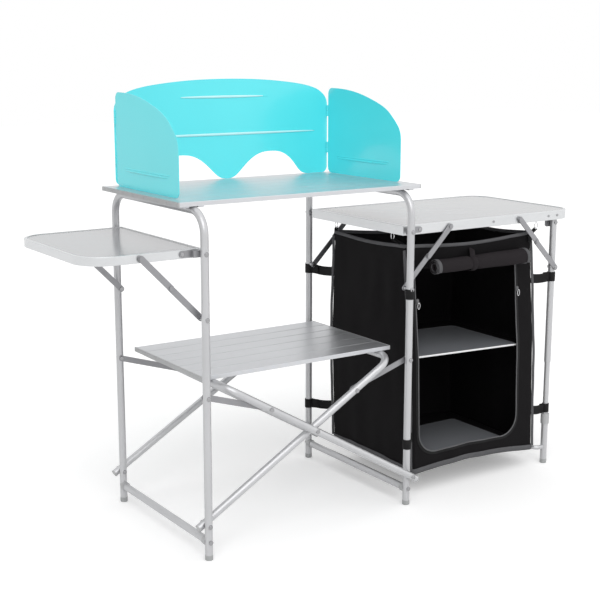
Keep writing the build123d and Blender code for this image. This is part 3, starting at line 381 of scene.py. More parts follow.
def webbing(name, light, dark, rib):
    """Narrow woven tape: ribs across its run, with slight fading."""
    finish = Finish(name, Specular_IOR_Level=0.2)
    ribs = finish.ridges(rib, "X", finish.along())
    fade = finish.noise(scale=40.0, detail=3.0)
    finish.colour(weigh(ribs, fade, share=0.4), dark, light)
    finish.gloss(ribs, spread=0.15, middle=0.695)
    finish.relief(ribs, distance=0.4 * MM, strength=0.8)
    return finish.material


TUBE = drawn_metal("satin_aluminium_tube", (0.60, 0.603, 0.615), (0.47, 0.473, 0.485), 0.36, 0.5, (1, 1, 0.1))
RAIL = drawn_metal("satin_aluminium_rail", (0.60, 0.603, 0.615), (0.47, 0.473, 0.485), 0.36, 0.5, (1, 0.1, 1))
SLAT = drawn_metal("brushed_slat", (0.66, 0.67, 0.69), (0.53, 0.54, 0.56), 0.34, 0.7, (0.06, 1, 1))
EDGE = drawn_metal("satin_edge", (0.70, 0.71, 0.72), (0.58, 0.59, 0.60), 0.32, 0.7, (0.2, 0.2, 1))
LINK = drawn_metal("grey_steel_link", (0.36, 0.36, 0.375), (0.25, 0.25, 0.262), 0.36, 0.6, (0.3, 1, 0.3))
RIVET = drawn_metal("polished_rivet", (0.42, 0.42, 0.43), (0.28, 0.28, 0.29), 0.22, 0.9, (1, 1, 1))
WIRE = drawn_metal("bright_wire", (0.80, 0.80, 0.81), (0.62, 0.62, 0.64), 0.20, 1.0, (1, 1, 1))
BOARD = laminate("grey_laminate", (0.375, 0.378, 0.39), (0.32, 0.323, 0.333), 0.20)
SHELF_BOARD = laminate("cupboard_board", (0.245, 0.255, 0.275), (0.19, 0.198, 0.214), 0.45)
EDGE_STRIP = moulded("white_edge_strip", (0.86, 0.865, 0.87), (0.78, 0.785, 0.79), 0.4)
PAINT = painted_sheet("turquoise_paint", (0.125, 0.87, 0.93), (0.095, 0.80, 0.87))
# The back ribs' near-white paint is a painted highlight: it stands in for the lamp's gleam along their tops.
BEAD_HIGHLIGHT_PAINT = painted_sheet("bead_painted_highlight", (0.62, 0.94, 0.96), (0.50, 0.92, 0.94))
CAP = moulded("light_grey_plastic", (0.50, 0.505, 0.51), (0.42, 0.425, 0.43), 0.5)
FOOT = moulded("milky_plastic", (0.42, 0.43, 0.43), (0.33, 0.34, 0.34), 0.35)
DARK = moulded("black_plastic", (0.028, 0.028, 0.03), (0.016, 0.016, 0.018), 0.45)
CLOTH_LOOK = woven("black_cloth", (0.0085, 0.0075, 0.0085), (0.0035, 0.0032, 0.0036), 260.0)
ROLL_LOOK = woven("rolled_door_cloth", (0.026, 0.022, 0.025), (0.013, 0.011, 0.012), 180.0)
BINDING = webbing("grey_binding", (0.125, 0.125, 0.13), (0.08, 0.08, 0.085), 150.0)
STRAP = webbing("black_webbing", (0.012, 0.012, 0.0125), (0.006, 0.006, 0.0065), 110.0)
ZIP = moulded("grey_zip", (0.13, 0.13, 0.135), (0.08, 0.08, 0.085), 0.4)

LOOKS = {
    TUBE: ("left_leg_frame", "right_leg_frame", "scissor_arm_a", "scissor_arm_b", "outer_legs",
           "outer_lower_legs"),
    RAIL: ("left_low_rail", "right_low_rail", "outer_low_rail"),
    SLAT: ("main_top_slats", "shelf_slats", "main_top_battens", "shelf_battens"),
    EDGE: ("tray_rim", "table_rim"),
    LINK: ("tray_brackets", "table_brackets", "tray_lower_struts", "tray_upper_struts", "table_lower_struts",
           "table_upper_struts", "left_links", "right_links", "table_ears"),
    RIVET: ("left_frame_rivets", "right_frame_rivets", "tray_rivets", "table_rivets", "arm_a_rivets",
            "arm_b_rivets", "windshield_pins"),
    BOARD: ("tray_board", "table_board"),
    PAINT: ("windshield_back", "windshield_left_wing", "windshield_right_wing"),
    CAP: ("left_rail_plugs", "right_rail_plugs", "arm_a_caps", "arm_b_caps", "main_top_caps", "shelf_caps",
          "shelf_clips", "outer_collars"),
    FOOT: ("left_feet", "right_feet", "outer_feet"),
    DARK: ("front_button", "rear_button"),
    ZIP: ("left_zip_slider", "right_zip_slider"),
    CLOTH_LOOK: ("cupboard_bag", "zip_tapes"),
    ROLL_LOOK: ("door_roll",),
    STRAP: ("leg_straps", "low_strap_loops", "roll_tie", "bag_hooks"),
    SHELF_BOARD: ("bag_mid_board", "bag_floor_board"),
}
for look, names in LOOKS.items():
    for name in names:
        NODES[name].data.materials.clear()
        NODES[name].data.materials.append(look)


def piece(name, points, faces, look, body, runs, smooth=True):
    """A mesh piece that rides on a body, if one is given. runs holds each vertex's place along and across."""
    mesh = bpy.data.meshes.new(name)
    mesh.from_pydata(np.asarray(points, float).tolist(), [], [list(map(int, f)) for f in faces])
    mesh.update()
    layer = mesh.uv_layers.new(name="run")
    corner = np.zeros(len(mesh.loops), np.int32)
    mesh.loops.foreach_get("vertex_index", corner)
    layer.data.foreach_set("uv", np.asarray(runs, float)[corner].ravel())
    mesh.shade_smooth() if smooth else mesh.shade_flat()
    mesh.materials.append(look)
    made = bpy.data.objects.new(name, mesh)
    bpy.context.scene.collection.objects.link(made)
    if body:
        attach(made, body)
    return made


def thicken(sheet, thickness, offset=-1):
    """Gives a sheet its wall: offset -1 puts it behind the faces, and -0.5 leaves a quarter in front."""
    wall = sheet.modifiers.new("thick", "SOLIDIFY")
    wall.thickness = thickness
    wall.offset = offset


def quads(rows, columns, wrap_rows=False, wrap_columns=False):
    """The faces of a grid of rows by columns, each way closed on itself where it wraps."""
    index = np.arange(rows * columns).reshape(rows, columns)
    if wrap_rows:
        index = np.vstack([index, index[:1]])
    if wrap_columns:
        index = np.hstack([index, index[:, :1]])
    corners = [index[:-1, :-1], index[:-1, 1:], index[1:, 1:], index[1:, :-1]]
    return np.stack(corners, axis=-1).reshape(-1, 4)


def capped(rows, columns):
    """The faces of rows of points, each row a closed ring, with a flat face on the first and last row."""
    faces = [list(f) for f in quads(rows, columns, wrap_columns=True)]
    last = (rows - 1) * columns
    return faces + [list(range(columns))[::-1], list(range(last, last + columns))]


def unit(vectors):
    return vectors / np.maximum(np.linalg.norm(vectors, axis=-1, keepdims=True), 1e-12)


def circle(count):
    """The angles of that many points round a full turn."""
    return np.linspace(0, 2 * pi, count, endpoint=False)


def grid_runs(rows, columns):
    """The runs of a grid's points, from one value for each row and one for each column."""
    return np.stack(np.broadcast_arrays(rows[:, None], columns[None, :]), -1).reshape(-1, 2)


def travel(path, closed=False):
    """The unit direction at each point of a path: the chord between its two neighbours."""
    if closed:
        return unit(np.roll(path, -1, 0) - np.roll(path, 1, 0))
    return unit(np.gradient(path, axis=0))


def lengths(path):
    """The distance along the path to each point."""
    return np.concatenate([[0.0], np.cumsum(np.linalg.norm(np.diff(path, axis=0), axis=1))])


def evened(path, count):
    """The path with that many points, at equal steps along its length."""
    reach = lengths(path) / lengths(path)[-1]
    return np.stack([np.interp(np.linspace(0, 1, count), reach, path[:, axis]) for axis in range(3)], -1)


def sweep(path, first, second, profile, closed=False):
    """A profile of (first, second) offsets carried along a path: point = path + a first + b second.
    Open sweeps get a flat end at both ends. Returns points, faces and runs."""
    count, sides = len(path), len(profile)
    a, b = np.asarray(profile, float).T
    points = path[:, None] + a[None, :, None] * first[:, None] + b[None, :, None] * second[:, None]
    around = np.concatenate([[0.0], np.cumsum(np.hypot(np.diff(a), np.diff(b)))])
    faces = quads(count, sides, wrap_rows=True, wrap_columns=True) if closed else capped(count, sides)
    return points.reshape(-1, 3), faces, grid_runs(lengths(path), around)


def tape_profile(width, thick):
    """A flat tape's section with its four corners cut, width across by thick."""
    w, t = width / 2, thick / 2
    cut = thick * 0.35
    below = [(-w + cut, -t), (w - cut, -t), (w, -t + cut), (w, t - cut)]
    return below + [(-across, -up) for across, up in below]


def tape(name, path, normal, width, thick, look, body="right_frame", closed=False):
    """A tape along a path whose flat face looks along normal."""
    normal = np.broadcast_to(normal, path.shape)
    along = travel(path, closed)
    across = unit(np.cross(normal, along))
    up = unit(np.cross(along, across))
    points, faces, runs = sweep(path, across, up, tape_profile(width, thick), closed)
    return piece(name, points, faces, look, body, runs)


def rod(path, radius, sides, closed=False, swell=1.0):
    """A round bar along a path, as points, faces and runs; swell multiplies its radius at each point."""
    along = travel(path, closed)
    helper = np.where(np.abs(along[:, 2:3]) < 0.9, np.array([[0, 0, 1.0]]), np.array([[1.0, 0, 0]]))
    first = unit(np.cross(helper, along))
    second = np.cross(along, first)
    swell = np.broadcast_to(swell, len(path))[:, None]
    ring = np.stack([np.cos(circle(sides)), np.sin(circle(sides))], -1) * radius
    return sweep(path, first * swell, second * swell, ring, closed)


def joined(parts):
    """Several (points, faces, runs) as one."""
    points, faces, runs, start = [], [], [], 0
    for p, f, r in parts:
        points.append(p)
        faces += [[int(v) + start for v in face] for face in f]
        runs.append(r)
        start += len(p)
    return np.concatenate(points), faces, np.concatenate(runs)


# The cloth cupboard. Every part of it follows one surface, cloth(s, v): s runs round the bag from the
# middle of its front left corner, and v runs from its bottom hem to its top hem.
SIDE_X = BAG_HIGH[0] - BAG_LOW[0] - 2 * BAG_ROUND
SIDE_Y = BAG_HIGH[1] - BAG_LOW[1] - 2 * BAG_ROUND
BAG_HEIGHT = BAG_HIGH[2] - BAG_LOW[2]
ARC = BAG_ROUND * pi / 2
SIDES = np.array([SIDE_X, SIDE_Y, SIDE_X, SIDE_Y]) + ARC
ROUND = SIDES.sum()
STARTS = np.concatenate([[0.0], np.cumsum(SIDES)])
CORNERS = np.array([[BAG_LOW[0], BAG_LOW[1]], [BAG_HIGH[0], BAG_LOW[1]], [BAG_HIGH[0], BAG_HIGH[1]],
                    [BAG_LOW[0], BAG_HIGH[1]]])
DOOR_X = (TAPE_LOW[0] + TAPE_W, TAPE_HIGH[0] - TAPE_W)
DOOR_Z = (TAPE_LOW[2] - DOOR_CORNER, TAPE_HIGH[2] + DOOR_CORNER + DOOR_TOP_UP)
ROLL_LENGTH = ROLL_HIGH[0] - ROLL_LOW[0]
ROLL_R = (ROLL_HIGH[2] - ROLL_LOW[2]) / 2 + ROLL_LOOSE
ROLL_CENTRE = np.array([0, (ROLL_LOW[1] + ROLL_HIGH[1]) / 2 + ROLL_BACK, (ROLL_LOW[2] + ROLL_HIGH[2]) / 2])
TIE_X = np.mean([corner[0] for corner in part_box("roll_tie")]) - TIE_LEFT
WAVES = np.random.default_rng(11)
CREASES = [(WAVES.uniform(3, 11), WAVES.uniform(-7, 7), WAVES.uniform(0, 2 * pi), WAVES.uniform(0.3, 1.0))
           for _ in range(CREASE_COUNT)]


def outline(s):
    """At s on the rounded rectangle, straight sides joined by arcs: (x, y), the outward direction, the side's
    number and the share of that side that lies behind."""
    s = np.mod(s, ROUND)
    side = np.clip(np.searchsorted(STARTS, s, side="right") - 1, 0, 3)
    run = s - STARTS[side]
    straight = SIDES[side] - ARC
    turn = np.where(run < ARC / 2, run / BAG_ROUND - pi / 4,
                    np.where(run > ARC / 2 + straight, (run - ARC / 2 - straight) / BAG_ROUND, 0.0))
    reach = np.clip(run - ARC / 2, 0, straight)
    heading = side * pi / 2
    ahead = np.stack([np.cos(heading), np.sin(heading)], -1)
    out = np.stack([np.sin(heading), -np.cos(heading)], -1)
    inner = CORNERS[side] + (ahead - out) * BAG_ROUND
    spin = heading + turn
    facing = np.stack([np.sin(spin), -np.cos(spin)], -1)
    return inner + ahead * reach[..., None] + facing * BAG_ROUND, facing, side, run / SIDES[side]


def slack_of(side, t, v):
    """How far the cloth stands out at share t of a side and share v of its height: half a sine of slack each
    way, a sum of slanted sines for creases, fading waves at both top corners, and a ripple to the right of
    the door."""
    middle = np.sin(pi * t)
    quiet = np.clip(middle * 2.2, 0, 1)
    slack = SLACK * middle * np.sin(pi * np.clip(v, 0, 1)) * np.where(side == 0, FRONT_SLACK, 1.0)
    crease = CREASE * sum(k * np.sin(m * t * pi + n * v * pi + p) for m, n, p, k in CREASES)
    pull = np.zeros_like(t)
    drop = 1 - v
    for end in (t, 1 - t):
        fade = np.exp(-((end * 5) ** 2 + (drop * 4) ** 2))
        pull += PULL * fade * np.sin(PULL_WAVES * (end - 0.55 * drop) + 1.0)
    beside_door = np.exp(-((t - 0.93) / 0.05) ** 2) * (side == 0)
    ripple = RIPPLE * np.sin(2 * pi * (9 * v + 1.5 * t)) * beside_door
    return np.maximum(slack + (crease + pull + ripple) * quiet, -DEEPEST)


def cloth(s, v, proud=0.0):
    """A point of the cupboard's cloth: the outline, pushed out by its slack, between a bottom edge that
    arches and a top edge that sags between its corners. The mid board holds it where v is a half: above it
    the bag leans to the left and draws in to its hooks, and below it a little to the right, both in step
    with v."""
    s, v = np.broadcast_arrays(np.asarray(s, float), np.asarray(v, float))
    flat, facing, side, t = outline(s)
    middle = np.sin(pi * t)
    top = BAG_HIGH[2] - SAGS[side] * middle ** 1.3
    foot = FOOT_DROP[side] * (1 - t) + FOOT_DROP[(side + 1) % 4] * t
    low = BAG_LOW[2] - foot + (FOOT_ARCH[side] + FOOT_WAVE * np.sin(6 * pi * t + side)) * middle
    z = low + v * (top - low)
    push = slack_of(side, t, v) + proud
    x, y = np.moveaxis(flat + facing * push[..., None], -1, 0)
    ahead = (BAG_HIGH[1] - y) / (BAG_HIGH[1] - BAG_LOW[1])
    above, below = np.clip(2 * v - 1, 0, 1.05), np.clip(1 - 2 * v, 0, 1.05)
    x = x + FOOT_RIGHT * below - TOP_LEFT * above
    y = y + TOP_BACK * above * ahead - TOP_REAR_IN * above * (1 - ahead)
    return np.stack([x, y, z], -1)


def share_up(z):
    return (z - BAG_LOW[2]) / BAG_HEIGHT


def front_run(x):
    """Where x lies on the front, as a length round the bag."""
    return x - BAG_LOW[0] - BAG_ROUND + ARC / 2


def front(x, z, proud=0.0):
    """The front cloth at x and z, both as they are before the bag leans."""
    return cloth(front_run(x), share_up(z), proud)


def rear(x, z, proud=0.0):
    """The rear cloth at x and z, both as they are before the bag leans."""
    return cloth(STARTS[2] + ARC / 2 + BAG_HIGH[0] - BAG_ROUND - x, share_up(z), proud)


def door_side(k, count):
    """One side of the door's outline from corner middle to corner middle, in the order bottom, right, top,
    left: half an arc, a straight run and half an arc, each drawn by the turn of its heading."""
    (x0, x1), (z0, z1) = DOOR_X, DOOR_Z
    radii = (DOOR_CORNER, DOOR_CORNER, DOOR_TOP_CORNER, DOOR_TOP_CORNER)
    r_in, r_out = radii[k], radii[(k + 1) % 4]
    starts = ((x0, z0), (x1, z0), (x1, z1), (x0, z1))
    straight = (x1 - x0 if k % 2 == 0 else z1 - z0) - r_in - r_out
    arc_in, arc_out = r_in * pi / 4, r_out * pi / 4
    run = np.linspace(0, arc_in + straight + arc_out, count)
    turn = np.where(run < arc_in, run / r_in - pi / 4,
                    np.where(run > arc_in + straight, (run - arc_in - straight) / r_out, 0))
    radius = np.where(run < arc_in, r_in, r_out)
    ahead = np.where(run < arc_in, r_in, r_in + np.clip(run - arc_in, 0, straight)) + radius * np.sin(turn)
    inward = radius * (1 - np.cos(turn))
    c, s = round(np.cos(k * pi / 2)), round(np.sin(k * pi / 2))
    return starts[k][0] + c * ahead - s * inward, starts[k][1] + s * ahead + c * inward


def front_panel():
    """The front, ruled from the door's outline to the panel's edge, as four (points, faces, runs)."""
    wide, tall, rings = 60, 90, 12
    left, right = 0.0, SIDES[0]
    edges = ((np.linspace(left, right, wide), np.zeros(wide)),
             (np.full(tall, right), np.linspace(0, 1, tall)),
             (np.linspace(right, left, wide), np.ones(wide)),
             (np.full(tall, left), np.linspace(1, 0, tall)))
    share = np.linspace(0, 1, rings)[:, None]
    for k, (s_out, v_out) in enumerate(edges):
        x, z = door_side(k, len(s_out))
        s_in, v_in = front_run(x), share_up(z)
        s, v = s_in + (s_out - s_in) * share, v_in + (v_out - v_in) * share
        runs = np.stack([s, v * BAG_HEIGHT], -1).reshape(-1, 2)
        yield cloth(s, v).reshape(-1, 3), quads(rings, len(s_out))[:, ::-1], runs


def bag_floor():
    """The floor: the bottom edge drawn in to its middle, which settles under the floor board."""
    count, rings = 240, 16
    loop = cloth(np.linspace(0, ROUND, count, endpoint=False), 0.0)
    share = np.linspace(1, 0.02, rings)[:, None, None]
    floor = loop.mean(0) + (loop - loop.mean(0)) * share
    settle = np.clip(share[..., 0] * 12 - 11, 0, 1)
    floor[..., 2] = loop[None, :, 2] * settle + (FLOOR_LOW[2] - FLOOR_UNDER) * (1 - settle)
    points = floor.reshape(-1, 3)
    inner = [(rings - 1) * count + k for k in range(count)]
    return points, [list(f) for f in quads(rings, count, wrap_columns=True)[:, ::-1]] + [inner], points[:, :2]


def cupboard_cloth():
    """The bag: a front panel, one sheet round the other three sides, and a floor, with its wall inwards."""
    around, tall = 260, 90
    s, v = np.meshgrid(np.linspace(SIDES[0], ROUND, around), np.linspace(0, 1, tall))
    runs = np.stack([s, v * BAG_HEIGHT], -1).reshape(-1, 2)
    sheet = (cloth(s, v).reshape(-1, 3), quads(tall, around), runs)
    points, faces, runs = joined([*front_panel(), sheet, bag_floor()])
    bag = piece("cupboard_cloth", points, faces, CLOTH_LOOK, "right_frame", runs)
    weld = bag.modifiers.new("weld", "WELD")
    weld.merge_threshold = 0.1 * MM
    thicken(bag, CLOTH)
    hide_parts("cupboard_bag")
    return bag


def hem(name, v, width, proud):
    """A binding all round the bag at height share v, folded over the cloth's edge or sewn on outside."""
    s = np.linspace(0, ROUND, 420, endpoint=False)
    path = cloth(s, v, proud)
    normal = np.concatenate([outline(s)[1], np.zeros((len(s), 1))], -1)
    return tape(name, path, normal, width, HEM_T, BINDING, closed=True)


def corner_binding(index):
    """The grey binding up one corner of the bag: a folded tape that stands off the corner along its bearing.
    The front left one is the widest and points almost straight left. Its edge wavers a little."""
    width, bearing = BINDINGS[index]
    out = np.array([np.cos(radians(bearing)), np.sin(radians(bearing)), 0.0])
    v = np.linspace(0.01, 0.985, 160)
    waver = (0.5 * np.sin(17 * v + index) + 0.3 * np.sin(41 * v + 2 * index)) * MM
    seam = cloth(np.full(len(v), STARTS[index]), v, 0.3 * MM)
    path = seam + out * (width / 2 + BINDING_OFF + waver[:, None])
    name = "corner_binding_%d" % (index + 1)
    return tape(name, path, np.cross(out, (0, 0, 1.0)), width, BINDING_T, BINDING)


def door_zip():
    """The zip down both sides and along the foot of the door: a tape on the cloth, and a ridged coil on the
    door's edge, whose radius swells in a sine every three points."""
    sides = [door_side(k, 150) for k in (3, 0, 1)]
    x = np.concatenate([side[0][:-1] for side in sides])
    z = np.concatenate([side[1][:-1] for side in sides])
    low = z < DOOR_Z[1] - DOOR_TOP_CORNER
    x, z = x[low], z[low]
    edge = front(x, z, ZIP_PROUD)
    away = unit(np.stack([x - np.mean(DOOR_X), np.zeros_like(x), z - np.mean(DOOR_Z)], -1))
    tape("zip_tape_run", edge + away * ZIP_TAPE_OUT, (0, -1.0, 0), ZIP_TAPE_W, ZIP_TAPE_T, STRAP)
    count = 1500
    swell = 1 + 0.22 * np.sin(2 * pi * np.arange(count) / 3)
    points, faces, runs = rod(evened(edge, count), COIL_R, sides=8, swell=swell)
    coil = piece("zip_coil", points, faces, ZIP, "right_frame", runs)
    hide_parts("zip_tapes")


def rolled_door():
    """The door rolled up: a spiral of cloth, whose radius grows in step with its turn from the core to the
    outside and is drawn in at the tie, with grey binding round its ends."""
    along, around = 90, 230
    turn, run = np.meshgrid(np.linspace(0, 2 * pi * ROLL_TURNS, around), np.linspace(0, 1, along))
    share = turn / turn.max()
    tie = (TIE_X - ROLL_LOW[0]) / ROLL_LENGTH
    waist = 1 - ROLL_WAIST * np.exp(-((run - tie) / ROLL_WAIST_RUN) ** 2)
    slow, fine = ROLL_CREASES
    crease = (slow * np.sin(turn * 2 + 9 * run) + fine * np.sin(21 * run + turn)) * share
    radius = (ROLL_CORE + (ROLL_R - ROLL_CORE - ROLL_SKIN) * share) * waist * (0.93 + 0.17 * run) + crease
    phase = turn + ROLL_START
    points = ROLL_CENTRE + np.stack([ROLL_LOW[0] + run * ROLL_LENGTH, radius * np.cos(phase),
                                     radius * np.sin(phase)], -1)
    runs = np.stack([run * ROLL_LENGTH, radius * turn], -1).reshape(-1, 2)
    roll = piece("rolled_door", points.reshape(-1, 3), quads(along, around), ROLL_LOOK, "right_frame", runs)
    thicken(roll, ROLL_CLOTH)
    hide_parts("door_roll")
    rows, inner = 4, 70
    for name, rim in (("left", points[:rows, inner:]), ("right", points[-rows:, inner:])):
        ring = ROLL_CENTRE + (rim - ROLL_CENTRE) * (1, ROLL_BOUND_GROW, ROLL_BOUND_GROW)
        ring = ring.reshape(-1, 3)
        bound = piece("roll_binding_" + name, ring, quads(rows, around - inner), BINDING, "right_frame",
                      ring[:, :2])
        thicken(bound, ROLL_BOUND, -0.5)


def roll_tie():
    """The tie: a band that hangs from the cloth on a straight slant and goes most of the way round
    the roll."""
    hung_count, count = 30, 60
    around = np.linspace(0.62 * pi, 2.34 * pi, count)
    centre = ROLL_CENTRE + (TIE_X, 0, 0)
    loop = centre + np.stack([np.zeros(count), np.cos(around), np.sin(around)], -1) * ROLL_R * TIE_SNUG
    hung = front(TIE_X + TIE_SLANT, BAG_HIGH[2] - TIE_DOWN, TIE_PROUD)
    rise = hung + (loop[0] - hung) * np.linspace(0, 1, hung_count, endpoint=False)[:, None]
    path = np.concatenate([rise, loop])
    normal = unit(path - centre)
    normal[:hung_count] = (0, -0.8, 0.6)
    band = tape("roll_tie_band", path, normal, TIE_W, TIE_T, ROLL_LOOK)
    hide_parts("roll_tie")


def strap_path(leg, leg_r, corner_s, height):
    """The path of a strap from the bag's corner to a leg, once round it and part of the way back, and the
    leg's middle."""
    loop_count, run_count = 48, 14
    start = cloth(corner_s, share_up(height), STRAP_PROUD)
    start[2] = height
    leg = np.array([*leg, height])
    away = unit(start - leg)
    angle = np.arctan2(away[1], away[0]) + np.linspace(STRAP_MOUTH, 2 * pi - STRAP_MOUTH, loop_count)
    ring = np.stack([np.cos(angle), np.sin(angle), np.zeros(loop_count)], -1)
    loop = leg + ring * (leg_r + PLAY + STRAP_T / 2)
    share = np.linspace(0, 1, run_count)[:, None]
    out = start + (loop[0] - start) * share
    out[:, 2] -= STRAP_DIP * np.sin(pi * share[:, 0])
    back = loop[-1] + (start - loop[-1]) * share * STRAP_BACK
    return np.concatenate([out[:-1], loop, back[1:]]), leg


def leg_strap(name, leg, leg_r, corner_s, height):
    """A webbing strap from a corner of the bag round a leg that stands still beside it."""
    path, _ = strap_path(leg, leg_r, corner_s, height)
    return tape(name, path, np.cross(travel(path), (0, 0, 1.0)), STRAP_H, STRAP_T, STRAP)


def sliding_strap(name, leg, leg_r, corner_s, height):
    """A webbing strap round an outer leg's sliding part, running from the bag's corner to that part."""
    path, middle = strap_path(leg, leg_r, corner_s, height)
    normal = unit(np.cross(travel(path), (0, 0, 1.0)))
    upright = np.tile((0, 0, 1.0), (len(path), 1))
    points, faces, runs = sweep(path, upright, normal, tape_profile(STRAP_H, STRAP_T))
    made = piece(name, points, faces, STRAP, None, runs)
    held = middle + unit(path[0] - middle) * STRAP_FIXED
    tuple(path[0])
    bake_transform(made)
    return made


def leg_straps():
    """Eight straps, low and high at each corner: the left ones go round the legs of the right leg frame, and
    the right ones round the outer legs, high on the fixed tube and low on the sliding one."""
    low_z, high_z = STRAP_LOW[2] + STRAP_H / 2, STRAP_HIGH[2] - STRAP_H / 2
    places = ("front", "rear")
    inner = [(RIGHT_X, y) for y in RIGHT_YS]
    outer = [(OUTER_X, y) for y in OUTER_YS]
    left, right = (STARTS[0], STARTS[3]), (STARTS[1], STARTS[2])
    fixed = [leg_strap("strap_%s_left_%s" % (label, places[k]), inner[k], TUBE_R, left[k], height)
             for label, height in (("low", low_z), ("high", high_z + STRAP_UP)) for k in (0, 1)]
    for k, place in enumerate(places):
        leg_strap("strap_high_right_" + place, outer[k], TUBE_R, right[k], high_z)
        sliding_strap("strap_low_right_" + place, outer[k], INNER_R, right[k], low_z)
    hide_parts("leg_straps")
    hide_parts("low_strap_loops")


def hanging_hooks():
    """At each corner: a wire ring on an eye under the rim, and a webbing tab from the ring to the bag's top.
    The left pair hangs from the rim's end bar, and the right pair from its long bars."""
    under = RIM_LOW[2]
    end_x, long_x = RIM_LOW[0] + HOOK_REACH, BAG_HIGH[0] - HOOK_IN
    left_x, right_x = BAG_LOW[0] + TAB_IN, BAG_HIGH[0] - TAB_IN
    corners = (("left_front", front, left_x, end_x, BAG_LOW[1] + HOOK_BACK),
               ("left_rear", rear, left_x, end_x, BAG_HIGH[1] - HOOK_BACK),
               ("right_front", front, right_x, long_x, RIM_LOW[1] + HOOK_BAR_IN),
               ("right_rear", rear, right_x, long_x, RIM_HIGH[1] - HOOK_BAR_IN))
    angle = circle(40)
    wide, tall = np.cos(angle)[:, None] * RING_HALF[0], np.sin(angle)[:, None] * RING_HALF[1]
    for k, (name, face, foot_x, x, y) in enumerate(corners):
        on_left = k < 2
        middle = np.array([x, y, under - HOOK_DROP])
        ring = middle + wide * ((0, 1.0, 0) if on_left else (1.0, 0, 0)) + tall * (0, 0, 1.0)
        bar = RIM_LOW[0] + HOOK_BAR_IN if on_left else x
        eye = np.stack([bar + (x - bar) * EYE_ALONG, np.full(len(EYE_UP), y), under + EYE_UP], -1)
        wires = [rod(ring, RING_WIRE, sides=10, closed=True), rod(eye, EYE_WIRE, sides=10)]
        points, faces, runs = joined(wires)
        hook = piece("hook_" + name, points, faces, WIRE, "right_frame", runs)
        held = middle - (0, 0, TAB_HOLD)
        sewn = face(np.full(2, foot_x), BAG_HIGH[2] - TAB_DOWN, TAB_PROUD)
        path = evened(np.concatenate([[held], sewn]), 30)
        outward = (0, -1.0 if face is front else 1.0, 0.2)
        flat = unit(np.cross(travel(path), np.cross(outward, travel(path))))
        tape("tab_" + name, path, flat, TAB_W, TAB_T, STRAP)
        if k == 0:
            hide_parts("bag_hooks")


def zip_sliders():
    """The two sliders, each with a wire pull below. A body is a rounded block, (x, y, z) = half size times
    (f(cos w) f(cos u), f(sin w) f(cos u), f(sin u)), where f raises to a power below one and keeps the
    sign."""
    rows, columns, pull_count = 9, 20, 32
    u = np.linspace(-0.46 * pi, 0.46 * pi, rows)[:, None]
    w = circle(columns)[None, :]

    def soft(value):
        return np.sign(value) * np.abs(value) ** SLIDER_SOFT

    shape = np.stack([soft(np.cos(w)) * soft(np.cos(u)), soft(np.sin(w)) * soft(np.cos(u)),
                      soft(np.sin(u)) * np.ones_like(w)], -1).reshape(-1, 3) * SLIDER_HALF
    angle = circle(pull_count)
    ahead, up = SLIDER_PULL_AT
    pull = np.stack([np.cos(angle) * SLIDER_PULL_HALF[0], np.full(pull_count, ahead),
                     np.sin(angle) * SLIDER_PULL_HALF[1] + up], -1)
    for side, x in (("left", DOOR_X[0]), ("right", DOOR_X[1])):
        low, high = ends(side + "_zip_slider")
        seat = front(x + SLIDER_ASIDE, (low[2] + high[2]) / 2 + SLIDER_UP, SLIDER_PROUD)
        slider = piece(side + "_slider_body", shape + seat, capped(rows, columns), ZIP, side + "_zip",
                       shape[:, :2])
        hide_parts(side + "_zip_slider")
        side + "_zip_slider"
        points, faces, runs = rod(pull + seat, SLIDER_WIRE, sides=8, closed=True)
        piece(side + "_slider_pull", points, faces, WIRE, side + "_zip", runs)


def pressed_bead(name, middle, half_run, out, look, body):
    """A pressed rib on a sheet, from middle - half_run to middle + half_run: half an ellipse in section, its
    size at each share of its run the sine of half a turn, to the power BEAD_TAPER."""
    rows, columns = 60, 9
    share = np.linspace(0, 1, rows)
    section = np.linspace(0, pi, columns)
    across = np.cross(unit(half_run), out)
    rise = np.sin(pi * np.clip(share, 0.002, 0.998)) ** BEAD_TAPER
    path = middle + half_run * (2 * share - 1)[:, None]
    lens = across * np.cos(section)[:, None] * BEAD_W / 2 + out * np.sin(section)[:, None] * BEAD_H
    points = path[:, None] + lens[None] * rise[:, None, None]
    piece(name, points.reshape(-1, 3), capped(rows, columns), look, body, grid_runs(share, section))


def pressed_beads():
    """The ribs that stiffen the windshield: two across its back, in a near-white paint that is a painted
    highlight along them, and one low on each wing in the plain paint.
    """
    low, high = ends("windshield_back")
    foot = low[2]
    for name, up, reach, shift in BACK_BEADS:
        middle = np.array([(low[0] + high[0]) / 2 + shift, low[1] + PANEL_SETBACK, foot + up])
        pressed_bead("back_bead_" + name, middle, np.array([reach, 0, 0]), np.array([0, -1.0, 0]),
                     BEAD_HIGHLIGHT_PAINT, "windshield_panel")
    for side in ("left", "right"):
        low, high = ends("windshield_%s_wing" % side)
        middle = np.array([(low[0] + high[0] - SHEET_T) / 2 + BEAD_SINK, (low[1] + high[1]) / 2,
                           foot + WING_BEAD_UP])
        half_run = np.array([0, (low[1] - high[1]) / 2 + WING_BEAD_IN, 0])
        pressed_bead(side + "_wing_bead", middle, half_run, np.array([-1.0, 0, 0]), PAINT, side + "_wing")


